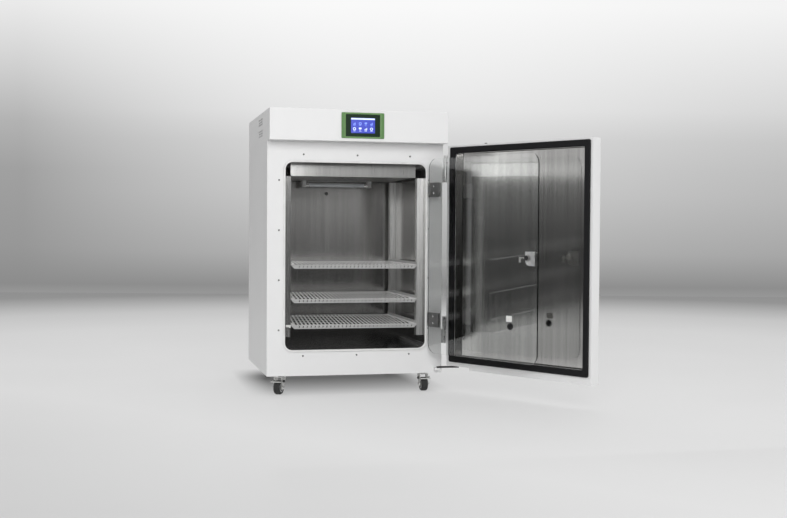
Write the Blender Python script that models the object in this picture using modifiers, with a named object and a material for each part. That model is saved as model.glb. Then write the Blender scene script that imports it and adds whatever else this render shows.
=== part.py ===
"""Carbon dioxide incubator on castors, with a glass inner door and an insulated outer door.

Metres, +Z up. X runs to the right of someone facing the doors, Y runs to the back. The origin
is on the floor, midway between the cabinet's sides, under the front face of the cabinet body.
Door pieces are modelled shut, relative to their hinge, and the hinge empty swings them open.
"""

import math

import bmesh
import bpy
from mathutils import Matrix, Vector

# Cabinet
CABINET_WIDTH = 0.626
CABINET_DEPTH = 0.555
BODY_HEIGHT = 0.812
HEAD_HEIGHT = 0.108
CASTOR_HEIGHT = 0.068
SHEET = 0.0015
CORNER_RADIUS = 0.004
CLEAR = 0.0003

# Chamber
CHAMBER_WIDTH = 0.500
CHAMBER_HEIGHT = 0.650
CHAMBER_DEPTH = 0.500
CHAMBER_FLOOR_ABOVE_BASE = 0.090
CHAMBER_RADIUS = 0.025
LINER = 0.001
BASE_PAN_HEIGHT = 0.022
SEAL_WIDTH = 0.007
SEAL_HEIGHT = 0.0052

# Control head
SCREEN_CENTRE_X = 0.0077
BEZEL_WIDTH = 0.150
BEZEL_HEIGHT = 0.088
BEZEL_RADIUS = 0.003
BEZEL_PROUD = 0.0032
BORDER_WIDTH = 0.120
BORDER_HEIGHT = 0.076
BORDER_RADIUS = 0.002
LCD_WIDTH = 0.085
LCD_HEIGHT = 0.053
LCD_DEPTH = 0.009
BOARD_WIDTH = 0.130
BOARD_HEIGHT = 0.080
BOARD_SHEET = 0.0016
HEAD_OVERHANG = 0.063
SUPPLY_LENGTH = 0.160
SUPPLY_WIDTH = 0.110
SUPPLY_HEIGHT = 0.040
SUPPLY_SIDE_GAP = 0.073
SUPPLY_BACK_GAP = 0.090
LOUVRE_LENGTH = 0.110
LOUVRE_SLOT = 0.004
LOUVRE_PITCH = 0.009
LOUVRE_CENTRE_Y = 0.190

# Shelving
UPRIGHT_DEPTH = 0.0230
UPRIGHT_FACE = 0.026
UPRIGHT_BOTTOM = 0.043
UPRIGHT_TOP_GAP = 0.0475
SLOT_START = 0.010
SLOT_PITCH = 0.030
SLOT_HEIGHT = 0.012
SLOT_WIDTH = 0.0064
UPRIGHT_FRONT_Y = 0.030
UPRIGHT_BACK_GAP = 0.030
SHELF_SLOTS = (8, 4, 1)
SHELF_SHEET = 0.0012
SHELF_LIP = 0.014
SHELF_FRONT_Y = 0.0185
SHELF_TRAVEL = 0.300
RUNNER_LEDGE = 0.013
RUNNER_LEG = 0.012
PERFORATION_COLUMNS = 8
PERFORATION_ROWS = 6
PERFORATION_LENGTH = 0.030
PERFORATION_WIDTH = 0.009
PERFORATION_SLANT = 35.0

# Air circulation, lamp and probe
PLENUM_WIDTH = 0.450
PLENUM_HEIGHT = 0.045
PLENUM_FRONT_Y = 0.050
PLENUM_BACK_GAP = 0.0418
PLENUM_OUTLETS = 5
FAN_Y = 0.240
FAN_RADIUS = 0.055
FAN_HEIGHT = 0.024
FAN_BLADES = 12
SHAFT_RADIUS = 0.003
MOTOR_RADIUS = 0.030
MOTOR_HEIGHT = 0.046
LAMP_X = 0.009
LAMP_LENGTH = 0.240
LAMP_RADIUS = 0.0065
LAMP_BACK_GAP = 0.035
HOLDER_LENGTH = 0.015
HOLDER_WIDTH = 0.022
HOLDER_DROP = 0.025
REFLECTOR_SHEET = 0.0012
PROBE_X = -0.017
PROBE_BELOW_TOP = 0.093
PROBE_RADIUS = 0.004
PROBE_LENGTH = 0.020

# Outer door
DOOR_OPEN = 121.0
DOOR_THICKNESS = 0.044
DOOR_GAP = 0.008
DOOR_TOP_GAP = 0.005
DOOR_BOTTOM_ABOVE_BASE = 0.018
DOOR_SIDE_INSET = 0.0005
DOOR_EDGE_RADIUS = 0.006
GASKET_BAND = 0.0215
GASKET_BAND_HINGE = 0.0265
GASKET_MARGIN_FREE = 0.008
GASKET_MARGIN_HINGE = 0.015
GASKET_MARGIN_TOP = 0.0065
GASKET_MARGIN_BOTTOM = 0.0245
PANEL_RECESS = 0.018
HINGE_OUTSET = 0.0085
HINGE_FORWARD = 0.0065
KNUCKLE_RADIUS = 0.007
HINGE_PIN_RADIUS = 0.0034
LEAF = 0.0022
LEAF_LENGTH = 0.034
KNUCKLE_HEIGHT = 0.050
DOOR_KNUCKLE_HEIGHT = 0.045
HINGE_HEIGHTS = (0.1065, 0.6778)
HANDLE_LENGTH = 0.180
HANDLE_REACH = 0.036
HANDLE_RADIUS = 0.007
HANDLE_INSET = 0.040

# Door stay
STAY_X_INSET = 0.018
STAY_FORWARD = 0.0135
STAY_LENGTH = 0.078
STAY_WIDTH = 0.008
STAY_HEIGHT = 0.006
STAY_PIN_RADIUS = 0.0025
STAY_NOTCH_LENGTH = 0.118
STAY_NOTCH_HEIGHT = 0.0095
STAY_TURN = 177.0

# Glass inner door
GLASS_OPEN = 117.5
GLASS_THICKNESS = 0.005
GLASS_OVERLAP_SIDE = 0.0065
GLASS_OVERLAP_TOP = 0.0187
GLASS_OVERLAP_BOTTOM = 0.0148
GLASS_RADIUS = 0.034
GLASS_HINGE_OUTSET = 0.0115
GLASS_HINGE_FORWARD = 0.0155
GLASS_KNUCKLE_RADIUS = 0.0035
GLASS_PIN_RADIUS = 0.0015
CLAMP_HEIGHT = 0.050
CLAMP_OUTER_LENGTH = 0.055
CLAMP_INNER_LENGTH = 0.0465
CLAMP_OUTER_PLATE = 0.003
CLAMP_INNER_PLATE = 0.0025
CLAMP_EAR = 0.0097
CLAMP_STUD_RADIUS = 0.0035
GLASS_HINGE_HEIGHTS = (0.261, 0.7178)
LATCH_X_INSET = 0.0355
LATCH_Z = 0.489
LATCH_PLATE_WIDTH = 0.041
LATCH_PLATE_HEIGHT = 0.046
LATCH_SPINDLE_RADIUS = 0.0037
LATCH_ARM = 0.034
PORT_X = -0.1356
PORT_Z = 0.262
PORT_RADIUS = 0.009

# Castors
CASTOR_FRONT_X = 0.2565
CASTOR_REAR_X = 0.242
CASTOR_TURN = -30.0
CASTOR_INSET_Y = 0.055
CASTOR_PLATE = 0.052
CASTOR_PLATE_THICKNESS = 0.0025
CASTOR_TRAIL = 0.018
WHEEL_RADIUS = 0.0245
WHEEL_WIDTH = 0.024
FORK_SHEET = 0.002
AXLE_RADIUS = 0.003
KINGPIN_RADIUS = 0.004

# Values worked out from the driving dimensions
HALF = CABINET_WIDTH / 2
BODY_BOTTOM = CASTOR_HEIGHT
BODY_TOP = BODY_BOTTOM + BODY_HEIGHT
HEAD_TOP = BODY_TOP + HEAD_HEIGHT
HEAD_FRONT = -HEAD_OVERHANG
CHAMBER_HALF = CHAMBER_WIDTH / 2
CHAMBER_BOTTOM = BODY_BOTTOM + CHAMBER_FLOOR_ABOVE_BASE
CHAMBER_TOP = CHAMBER_BOTTOM + CHAMBER_HEIGHT
CHAMBER_FRONT = SHEET + CLEAR
CHAMBER_BACK = CHAMBER_FRONT + CHAMBER_DEPTH
SIDE_INNER = HALF - SHEET - CLEAR
HOUSING_BACK = CABINET_DEPTH - SHEET - CLEAR
DOOR_HINGE = Vector((HALF + HINGE_OUTSET, -HINGE_FORWARD, 0.0))
GLASS_HINGE = Vector((CHAMBER_HALF + GLASS_HINGE_OUTSET, -GLASS_HINGE_FORWARD, 0.0))
DOOR_FRONT = -(DOOR_GAP + DOOR_THICKNESS)
DOOR_BACK = -DOOR_GAP
DOOR_LEFT = -HALF + DOOR_SIDE_INSET
DOOR_RIGHT = HALF - DOOR_SIDE_INSET
DOOR_BOTTOM = BODY_BOTTOM + DOOR_BOTTOM_ABOVE_BASE
DOOR_TOP = BODY_TOP - DOOR_TOP_GAP
GLASS_BACK = -(SEAL_HEIGHT + 2 * CLEAR)
GLASS_FRONT = GLASS_BACK - GLASS_THICKNESS
GLASS_HALF = CHAMBER_HALF + GLASS_OVERLAP_SIDE
UPRIGHT_Z = CHAMBER_BOTTOM + UPRIGHT_BOTTOM
UPRIGHT_HEIGHT = CHAMBER_HEIGHT - UPRIGHT_BOTTOM - UPRIGHT_TOP_GAP
UPRIGHT_SLOTS = int((UPRIGHT_HEIGHT - SLOT_START - SLOT_HEIGHT / 2) / SLOT_PITCH) + 1
UPRIGHT_BACK_Y = CHAMBER_BACK - UPRIGHT_BACK_GAP - UPRIGHT_FACE
UPRIGHT_INNER_X = CHAMBER_HALF - CLEAR - UPRIGHT_DEPTH
SHELF_HALF = UPRIGHT_INNER_X - CLEAR - SHELF_SHEET - CLEAR
SHELF_BACK_Y = UPRIGHT_BACK_Y + UPRIGHT_FACE + 0.008
PLENUM_BOTTOM = CHAMBER_TOP - CLEAR - PLENUM_HEIGHT
PLENUM_BACK_Y = CHAMBER_BACK - PLENUM_BACK_GAP
SHAFT_HOLE_RADIUS = SHAFT_RADIUS + 0.005
HEAD_FLOOR_TOP = BODY_TOP + CLEAR + SHEET
SCREEN_Z = BODY_TOP + HEAD_HEIGHT / 2

STEEL_WHITE = ("painted_steel_white", (0.83, 0.84, 0.84), 0.38, 0.0)
STEEL_GREY = ("zinc_plated_steel", (0.62, 0.63, 0.64), 0.35, 0.9)
STAINLESS = ("brushed_stainless_steel", (0.60, 0.60, 0.59), 0.28, 1.0)
RUBBER_BLACK = ("black_rubber", (0.02, 0.02, 0.02), 0.75, 0.0)
SILICONE_WHITE = ("white_silicone", (0.86, 0.86, 0.85), 0.5, 0.0)
PLASTIC_GREEN = ("green_plastic", (0.14, 0.30, 0.10), 0.4, 0.0)
PLASTIC_BLACK = ("black_plastic", (0.03, 0.03, 0.03), 0.5, 0.0)
PLASTIC_WHITE = ("white_plastic", (0.80, 0.80, 0.78), 0.45, 0.0)
SCREEN_DARK = ("screen_border_glass", (0.01, 0.03, 0.02), 0.15, 0.0)
GLASS = ("clear_glass", (0.85, 0.92, 0.90), 0.03, 0.0)
FOAM = ("insulating_foam", (0.80, 0.74, 0.52), 0.9, 0.0)
BLACK_STEEL = ("black_painted_steel", (0.02, 0.02, 0.02), 0.45, 0.2)
BRASS = ("nickel_plated_brass", (0.66, 0.62, 0.52), 0.3, 1.0)


class Build:
    """The two collections, the cutters' count and the materials made so far."""

    parts = None
    cutters = None
    materials = {}


def start():
    for obj in list(bpy.data.objects):
        bpy.data.objects.remove(obj, do_unlink=True)
    Build.parts = bpy.data.collections.new("carbon_dioxide_incubator")
    Build.cutters = bpy.data.collections.new("cutters")
    for collection in (Build.parts, Build.cutters):
        bpy.context.scene.collection.children.link(collection)


def material(finish):
    name, colour, roughness, metallic = finish
    if name not in Build.materials:
        made = bpy.data.materials.new(name)
        made.use_nodes = True
        shader = made.node_tree.nodes["Principled BSDF"]
        shader.inputs["Base Color"].default_value = (*colour, 1.0)
        shader.inputs["Roughness"].default_value = roughness
        shader.inputs["Metallic"].default_value = metallic
        made.diffuse_color = (*colour, 1.0)
        Build.materials[name] = made
    return Build.materials[name]


def hub(name, at, turn_z=0.0, parent=None):
    """An empty on a joint's axis. Its children are placed as if it were not turned."""
    empty = bpy.data.objects.new(name, None)
    empty.empty_display_size = 0.03
    Build.parts.objects.link(empty)
    empty.parent = parent
    empty["home"] = tuple(at)
    empty.location = Vector(at) - (Vector(parent["home"]) if parent else Vector())
    empty.rotation_euler = (0.0, 0.0, math.radians(turn_z))
    return empty


def add(name, mesh, at, finish=None, carrier=None):
    """Links a mesh as a part, or as a cutter where it has no finish."""
    obj = bpy.data.objects.new(name, mesh)
    if finish:
        Build.parts.objects.link(obj)
        mesh.materials.clear()
        mesh.materials.append(material(finish))
    else:
        Build.cutters.objects.link(obj)
        obj.display_type = "WIRE"
        obj.hide_render = True
    if carrier:
        obj.parent = carrier
        obj.location = Vector(at) - Vector(carrier["home"])
    else:
        obj.location = Vector(at)
    return obj


def mesh_from(bm, name):
    bmesh.ops.recalc_face_normals(bm, faces=bm.faces)
    mesh = bpy.data.meshes.new(name)
    bm.to_mesh(mesh)
    bm.free()
    return mesh


def box_mesh(name, low, high, open_sides=()):
    """A box between two corners, around its own centre. An open side is named by its outward normal."""
    low, high = Vector(low), Vector(high)
    size = high - low
    bm = bmesh.new()
    bmesh.ops.create_cube(bm, size=1.0)
    bmesh.ops.scale(bm, vec=size, verts=bm.verts)
    gone = [f for f in bm.faces if any(f.normal.dot(Vector(side)) > 0.9 for side in open_sides)]
    bmesh.ops.delete(bm, geom=gone, context="FACES")
    mesh = bpy.data.meshes.new(name)
    bm.to_mesh(mesh)
    bm.free()
    return mesh, (low + high) / 2


def box(name, low, high, finish=None, carrier=None, rounding=0.0, segments=2, open_sides=()):
    mesh, middle = box_mesh(name, low, high, open_sides)
    obj = add(name, mesh, middle, finish, carrier)
    if rounding:
        bevel(obj, rounding, segments)
    return obj


def bevel(obj, width, segments=2, angle=40.0):
    mod = obj.modifiers.new("rounded_edges", "BEVEL")
    mod.width = width
    mod.segments = segments
    mod.limit_method = "ANGLE"
    mod.angle_limit = math.radians(angle)
    return mod


def shell(obj, wall, outward=False):
    mod = obj.modifiers.new("sheet", "SOLIDIFY")
    mod.thickness = wall
    mod.offset = 1.0 if outward else -1.0
    mod.use_even_offset = True
    return mod


def combine(obj, tool, operation):
    mod = obj.modifiers.new(operation.lower(), "BOOLEAN")
    mod.operation = operation
    mod.object = tool
    mod.solver = "EXACT"
    return mod


def cut(obj, *tools):
    for tool in tools:
        combine(obj, tool, "DIFFERENCE")


def join(obj, *tools):
    for tool in tools:
        combine(obj, tool, "UNION")


def rounded(width, height, radius, at=(0.0, 0.0), steps=5):
    """The outline of a rectangle with round corners."""
    points = []
    for quarter in range(4):
        sx = 1 if quarter in (0, 3) else -1
        sy = 1 if quarter < 2 else -1
        centre = (at[0] + sx * (width / 2 - radius), at[1] + sy * (height / 2 - radius))
        for step in range(steps + 1):
            angle = math.radians(90.0 * (quarter + step / steps))
            points.append((centre[0] + radius * math.cos(angle), centre[1] + radius * math.sin(angle)))
    return points


def circle(radius, at=(0.0, 0.0), steps=16):
    turns = [2 * math.pi * k / steps for k in range(steps)]
    return [(at[0] + radius * math.cos(t), at[1] + radius * math.sin(t)) for t in turns]


FACINGS = {
    "Y": Matrix(((1, 0, 0, 0), (0, 0, 1, 0), (0, 1, 0, 0), (0, 0, 0, 1))),
    "X": Matrix(((0, 0, 1, 0), (1, 0, 0, 0), (0, 1, 0, 0), (0, 0, 0, 1))),
    "Z": Matrix.Identity(4),
}


def plate(name, loops, start_at, thickness, facing, finish=None, carrier=None, edge=0.0):
    """A flat piece cut to the given outlines, the first outer and the rest holes.

    It fills the space from start_at to start_at + thickness along the facing axis. Outlines are in
    the cabinet's own coordinates: X and Z for facing Y, Y and Z for facing X, X and Y for facing Z.
    """
    curve = bpy.data.curves.new(name, "CURVE")
    curve.dimensions = "2D"
    curve.fill_mode = "BOTH"
    curve.extrude = thickness / 2 - edge
    curve.bevel_depth = edge
    curve.offset = -edge
    curve.bevel_resolution = 0
    us = [p[0] for p in loops[0]]
    vs = [p[1] for p in loops[0]]
    centre = ((min(us) + max(us)) / 2, (min(vs) + max(vs)) / 2)
    for loop in loops:
        spline = curve.splines.new("POLY")
        spline.points.add(len(loop) - 1)
        for point, (u, v) in zip(spline.points, loop):
            point.co = (u - centre[0], v - centre[1], 0.0, 1.0)
        spline.use_cyclic_u = True
    mesh = curve_mesh(name, curve)
    mesh.transform(FACINGS[facing])
    if facing != "Z":
        bm = bmesh.new()
        bm.from_mesh(mesh)
        bmesh.ops.recalc_face_normals(bm, faces=bm.faces)
        bm.to_mesh(mesh)
        bm.free()
    middle = FACINGS[facing] @ Vector((centre[0], centre[1], start_at + thickness / 2))
    return add(name, mesh, middle, finish, carrier)


def curve_mesh(name, curve):
    """The closed mesh of a curve with its caps welded on."""
    holder = bpy.data.objects.new(name + "_outline", curve)
    bpy.context.scene.collection.objects.link(holder)
    bpy.context.view_layer.update()
    seen = holder.evaluated_get(bpy.context.evaluated_depsgraph_get())
    mesh = bpy.data.meshes.new_from_object(seen)
    mesh.name = name
    bpy.data.objects.remove(holder, do_unlink=True)
    bm = bmesh.new()
    bm.from_mesh(mesh)
    bmesh.ops.remove_doubles(bm, verts=bm.verts, dist=0.00002)
    bmesh.ops.recalc_face_normals(bm, faces=bm.faces)
    bm.to_mesh(mesh)
    bm.free()
    return mesh


def turned(name, profile, at, axis, finish=None, carrier=None, steps=16):
    """A turned piece. The profile lists radius and height, from its top down its outer side."""
    bm = bmesh.new()
    verts = [bm.verts.new((radius, 0.0, height)) for radius, height in profile]
    for a, b in zip(verts, verts[1:]):
        bm.edges.new((a, b))
    if profile[0][0] > 0.0:
        bm.edges.new((verts[-1], verts[0]))
    mesh = bpy.data.meshes.new(name)
    bm.to_mesh(mesh)
    bm.free()
    obj = add(name, mesh, at, finish, carrier)
    obj.rotation_euler = {
        "Z": (0.0, 0.0, 0.0),
        "-Z": (math.pi, 0.0, 0.0),
        "Y": (-math.pi / 2, 0.0, 0.0),
        "-Y": (math.pi / 2, 0.0, 0.0),
        "X": (0.0, math.pi / 2, 0.0),
        "-X": (0.0, -math.pi / 2, 0.0),
    }[axis]
    mod = obj.modifiers.new("turned", "SCREW")
    mod.steps = steps
    mod.render_steps = steps
    mod.use_merge_vertices = True
    mod.merge_threshold = 0.00005
    mod.use_smooth_shade = True
    return obj


def rod(name, radius, start_height, end_height, at, axis, finish=None, carrier=None, steps=16, bore=0.0):
    """A round bar, or a tube where it has a bore, along an axis through a point."""
    if bore:
        profile = [(bore, end_height), (radius, end_height), (radius, start_height), (bore, start_height)]
    else:
        profile = [(0.0, end_height), (radius, end_height), (radius, start_height), (0.0, start_height)]
    return turned(name, profile, at, axis, finish, carrier, steps)


def make_cabinet():
    casing = box(
        "outer_casing",
        (-HALF, CHAMBER_FRONT, BODY_BOTTOM),
        (HALF, HOUSING_BACK, BODY_TOP),
        STEEL_WHITE,
        open_sides=((0, -1, 0), (0, 1, 0), (0, 0, -1)),
    )
    shell(casing, SHEET)
    frame_loops = [
        rounded(CABINET_WIDTH, BODY_HEIGHT, CORNER_RADIUS, (0.0, (BODY_BOTTOM + BODY_TOP) / 2), 2),
        rounded(CHAMBER_WIDTH, CHAMBER_HEIGHT, CHAMBER_RADIUS, (0.0, (CHAMBER_BOTTOM + CHAMBER_TOP) / 2)),
    ]
    frame = plate("front_frame", frame_loops, 0.0, SHEET, "Y", STEEL_WHITE)
    plate("rear_panel", [frame_loops[0]], CABINET_DEPTH - SHEET, SHEET, "Y", STEEL_WHITE)
    pan = box(
        "base_pan",
        (-SIDE_INNER, CHAMBER_FRONT, BODY_BOTTOM),
        (SIDE_INNER, HOUSING_BACK, BODY_BOTTOM + BASE_PAN_HEIGHT),
        STEEL_GREY,
        open_sides=((0, 0, 1),),
    )
    shell(pan, 0.002)
    make_insulation()
    make_chamber()
    cut(casing, shaft_hole("casing_shaft_hole", BODY_TOP))
    seal_width = CHAMBER_WIDTH + 2 * SEAL_WIDTH
    seal_height = CHAMBER_HEIGHT + 2 * SEAL_WIDTH
    seal_middle = (0.0, (CHAMBER_BOTTOM + CHAMBER_TOP) / 2)
    plate(
        "inner_door_seal",
        [rounded(seal_width, seal_height, CHAMBER_RADIUS + SEAL_WIDTH, seal_middle), frame_loops[1]],
        -CLEAR - SEAL_HEIGHT,
        SEAL_HEIGHT,
        "Y",
        SILICONE_WHITE,
        edge=0.0015,
    )
    return frame, pan


def shaft_hole(name, height):
    return rod(name, SHAFT_HOLE_RADIUS, -0.012, 0.012, (0.0, FAN_Y, height), "Z")


def make_insulation():
    foam = box(
        "insulation",
        (-SIDE_INNER, CHAMBER_FRONT, BODY_BOTTOM + BASE_PAN_HEIGHT + CLEAR),
        (SIDE_INNER, HOUSING_BACK, BODY_TOP - SHEET - CLEAR),
        FOAM,
    )
    around = LINER + CLEAR
    hollow = plate(
        "chamber_hollow",
        [
            rounded(
                CHAMBER_WIDTH + 2 * around,
                CHAMBER_HEIGHT + 2 * around,
                CHAMBER_RADIUS + around,
                (0.0, (CHAMBER_BOTTOM + CHAMBER_TOP) / 2),
            )
        ],
        -0.010,
        CHAMBER_BACK + around + 0.010,
        "Y",
    )
    through = rod("foam_shaft_hole", SHAFT_HOLE_RADIUS, 0.0, 0.1, (0.0, FAN_Y, CHAMBER_TOP - 0.01), "Z")
    probe_hole = rod("foam_probe_hole", PROBE_RADIUS + CLEAR, 0.0, 0.030, (*probe_xy(), probe_z()), "Y")
    cut(foam, hollow, through, probe_hole)


def make_chamber():
    liner = plate(
        "inner_chamber",
        [rounded(CHAMBER_WIDTH, CHAMBER_HEIGHT, CHAMBER_RADIUS, (0.0, (CHAMBER_BOTTOM + CHAMBER_TOP) / 2))],
        CHAMBER_FRONT,
        CHAMBER_DEPTH,
        "Y",
        STAINLESS,
    )
    bm = bmesh.new()
    bm.from_mesh(liner.data)
    front = [f for f in bm.faces if f.normal.y < -0.9]
    bmesh.ops.delete(bm, geom=front, context="FACES")
    bm.to_mesh(liner.data)
    bm.free()
    shell(liner, LINER, outward=True)
    cut(liner, shaft_hole("liner_shaft_hole", CHAMBER_TOP))
    probe_hole = rod("liner_probe_hole", PROBE_RADIUS + CLEAR, -0.010, 0.010, (*probe_xy(), probe_z()), "Y")
    cut(liner, probe_hole)


def make_head():
    front = HEAD_FRONT
    casing = box(
        "head_casing",
        (-HALF, front, BODY_TOP + CLEAR),
        (HALF, HOUSING_BACK, HEAD_TOP),
        STEEL_WHITE,
        open_sides=((0, 1, 0),),
    )
    shell(casing, SHEET)
    window = box(
        "display_window",
        (SCREEN_CENTRE_X - LCD_WIDTH / 2 - CLEAR, front - 0.01, SCREEN_Z - LCD_HEIGHT / 2 - CLEAR),
        (SCREEN_CENTRE_X + LCD_WIDTH / 2 + CLEAR, front + 0.01, SCREEN_Z + LCD_HEIGHT / 2 + CLEAR),
    )
    slots = []
    for group in (0.28, 0.66):
        for row in (-1, 0, 1):
            z = HEAD_TOP - group * HEAD_HEIGHT + row * LOUVRE_PITCH
            slot = box(
                f"louvre_{group}_{row}",
                (-HALF - 0.01, LOUVRE_CENTRE_Y - LOUVRE_LENGTH / 2, z - LOUVRE_SLOT / 2),
                (HALF + 0.01, LOUVRE_CENTRE_Y + LOUVRE_LENGTH / 2, z + LOUVRE_SLOT / 2),
            )
            slots.append(slot)
    cut(casing, window, *slots, shaft_hole("head_shaft_hole", BODY_TOP))
    make_screen(front)
    make_head_rear()
    make_head_inside()


def make_screen(front):
    middle = (SCREEN_CENTRE_X, SCREEN_Z)
    border_fit = 2 * CLEAR
    plate(
        "screen_bezel",
        [
            rounded(BEZEL_WIDTH, BEZEL_HEIGHT, BEZEL_RADIUS, middle),
            rounded(BORDER_WIDTH + border_fit, BORDER_HEIGHT + border_fit, BORDER_RADIUS, middle, 3),
        ],
        front - CLEAR - BEZEL_PROUD,
        BEZEL_PROUD,
        "Y",
        PLASTIC_GREEN,
        edge=0.0008,
    )
    display = plate(
        "display_module",
        [rounded(BORDER_WIDTH, BORDER_HEIGHT, BORDER_RADIUS, middle, 3)],
        front - CLEAR - BEZEL_PROUD + 0.0008,
        BEZEL_PROUD - 0.0008,
        "Y",
        SCREEN_DARK,
    )
    lcd_front = front - CLEAR - BEZEL_PROUD + 0.0012
    lcd_step = box(
        "display_step",
        (SCREEN_CENTRE_X - LCD_WIDTH / 2, front - 2 * BEZEL_PROUD, SCREEN_Z - LCD_HEIGHT / 2),
        (SCREEN_CENTRE_X + LCD_WIDTH / 2, lcd_front, SCREEN_Z + LCD_HEIGHT / 2),
    )
    lcd = box(
        "display_cell",
        (SCREEN_CENTRE_X - LCD_WIDTH / 2, lcd_front, SCREEN_Z - LCD_HEIGHT / 2),
        (SCREEN_CENTRE_X + LCD_WIDTH / 2, lcd_front + LCD_DEPTH, SCREEN_Z + LCD_HEIGHT / 2),
    )
    cut(display, lcd_step)
    join(display, lcd)
    board_front = lcd_front + LCD_DEPTH - 0.0004
    board = box(
        "control_board",
        (SCREEN_CENTRE_X - BOARD_WIDTH / 2, board_front, SCREEN_Z - BOARD_HEIGHT / 2),
        (SCREEN_CENTRE_X + BOARD_WIDTH / 2, board_front + BOARD_SHEET, SCREEN_Z + BOARD_HEIGHT / 2),
    )
    chips = []
    for u, v, wide, tall, deep in (
        (-0.23, 0.12, 0.024, 0.024, 0.003),
        (0.15, 0.19, 0.016, 0.010, 0.003),
        (0.0, -0.35, 0.070, 0.010, 0.010),
        (0.37, -0.05, 0.012, 0.030, 0.012),
    ):
        x, z = SCREEN_CENTRE_X + u * BOARD_WIDTH, SCREEN_Z + v * BOARD_HEIGHT
        low = (x - wide / 2, board_front + BOARD_SHEET / 2, z - tall / 2)
        high = (x + wide / 2, board_front + BOARD_SHEET + deep, z + tall / 2)
        chips.append(box(f"board_piece_{u}_{v}", low, high))
    join(display, board, *chips)


def make_head_rear():
    cover = plate(
        "head_rear_cover",
        [rounded(CABINET_WIDTH, HEAD_HEIGHT - CLEAR, CORNER_RADIUS, (0.0, (BODY_TOP + CLEAR + HEAD_TOP) / 2), 2)],
        CABINET_DEPTH - SHEET,
        SHEET,
        "Y",
        STEEL_WHITE,
    )
    back = CABINET_DEPTH
    inlet_at = Vector((-0.215, back, SCREEN_Z))
    switch_at = inlet_at + Vector((0.052, 0.0, 0.0))
    gas_at = Vector((0.215, back, SCREEN_Z))
    inlet_hole = box("inlet_hole", inlet_at + Vector((-0.0145, -0.01, -0.0105)), inlet_at + Vector((0.0145, 0.01, 0.0105)))
    switch_hole = box("switch_hole", switch_at + Vector((-0.0105, -0.01, -0.0145)), switch_at + Vector((0.0105, 0.01, 0.0145)))
    gas_hole = rod("gas_hole", 0.0053, -0.01, 0.01, gas_at, "Y")
    cut(cover, inlet_hole, switch_hole, gas_hole)
    make_power_module(inlet_at, switch_at)
    make_gas_inlet(gas_at)


def make_power_module(at, switch_at):
    """A mains inlet with three pins beside the switch's well, behind one flange on the cover."""
    body = box("power_inlet", at + Vector((-0.0142, -0.022, -0.0102)), at + Vector((0.0142, 0.0025, 0.0102)), PLASTIC_BLACK)
    flange = plate(
        "inlet_flange",
        [rounded(0.088, 0.0360, 0.004, (at.x + 0.0255, at.z), 3)],
        at.y + CLEAR,
        0.0030,
        "Y",
    )
    recess = box("inlet_recess", at + Vector((-0.0120, -0.016, -0.0078)), at + Vector((0.0120, 0.010, 0.0078)))
    pins = []
    for x, z in ((-0.006, -0.002), (0.0, 0.003), (0.006, -0.002)):
        low = at + Vector((x - 0.001, -0.018, z - 0.002))
        pins.append(box(f"inlet_pin_{x}", low, at + Vector((x + 0.001, -0.007, z + 0.002))))
    switch_body = box(
        "switch_body",
        switch_at + Vector((-0.0102, -0.020, -0.0142)),
        switch_at + Vector((0.0102, 0.0015, 0.0142)),
    )
    well = box(
        "switch_well",
        switch_at + Vector((-0.0078, -0.012, -0.0120)),
        switch_at + Vector((0.0078, 0.010, 0.0120)),
    )
    join(body, flange, switch_body)
    cut(body, recess, well)
    join(body, *pins)
    make_rocker(switch_at)


def make_rocker(at):
    pivot = hub("power_switch_axis", at + Vector((0.0, -0.006, 0.0)))
    pivot.rotation_euler = (math.radians(-8.0), 0.0, 0.0)
    plate(
        "power_switch",
        [
            [(at.y - 0.0095, at.z - 0.004), (at.y + 0.0015, at.z - 0.0108), (at.y + 0.0015, at.z + 0.0108), (at.y - 0.0095, at.z + 0.004)]
        ],
        at.x - 0.0074,
        0.0148,
        "X",
        PLASTIC_BLACK,
        carrier=pivot,
    )


def make_gas_inlet(at):
    """The solenoid valve on the rear cover: a hose barb outside, and its block and coil in the head."""
    barb = [
        (0.0, 0.030), (0.0035, 0.030), (0.0050, 0.024), (0.0038, 0.024), (0.0050, 0.018), (0.0038, 0.018),
        (0.0050, 0.012), (0.0038, 0.012), (0.0038, 0.008), (0.0085, 0.008), (0.0085, CLEAR), (0.0050, CLEAR),
        (0.0050, -0.022), (0.0, -0.022),
    ]
    valve = turned("gas_valve", barb, at, "Y", BRASS, steps=12)
    block = box(
        "valve_block",
        (at.x - 0.014, at.y - 0.058, HEAD_FLOOR_TOP + CLEAR),
        (at.x + 0.014, at.y - 0.018, at.z + 0.012),
    )
    coil = box(
        "valve_coil",
        (at.x - 0.018, at.y - 0.054, at.z - 0.008),
        (at.x + 0.018, at.y - 0.026, at.z + 0.026),
        rounding=0.003,
    )
    join(valve, block, coil)


def make_head_inside():
    motor = turned(
        "fan_motor",
        [
            (SHAFT_RADIUS + CLEAR, MOTOR_HEIGHT),
            (MOTOR_RADIUS - 0.004, MOTOR_HEIGHT),
            (MOTOR_RADIUS, MOTOR_HEIGHT - 0.004),
            (MOTOR_RADIUS, 0.004),
            (MOTOR_RADIUS + 0.008, 0.004),
            (MOTOR_RADIUS + 0.008, 0.0),
            (SHAFT_RADIUS + CLEAR, 0.0),
        ],
        (0.0, FAN_Y, HEAD_FLOOR_TOP + CLEAR),
        "Z",
        STEEL_GREY,
        steps=20,
    )
    low = Vector((-HALF + SUPPLY_SIDE_GAP, CABINET_DEPTH - SUPPLY_BACK_GAP - SUPPLY_LENGTH, HEAD_FLOOR_TOP + CLEAR))
    size = Vector((SUPPLY_WIDTH, SUPPLY_LENGTH, SUPPLY_HEIGHT))
    supply = box("power_supply", low, low + size, STEEL_GREY, rounding=0.002, segments=1)
    return motor, supply


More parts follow.
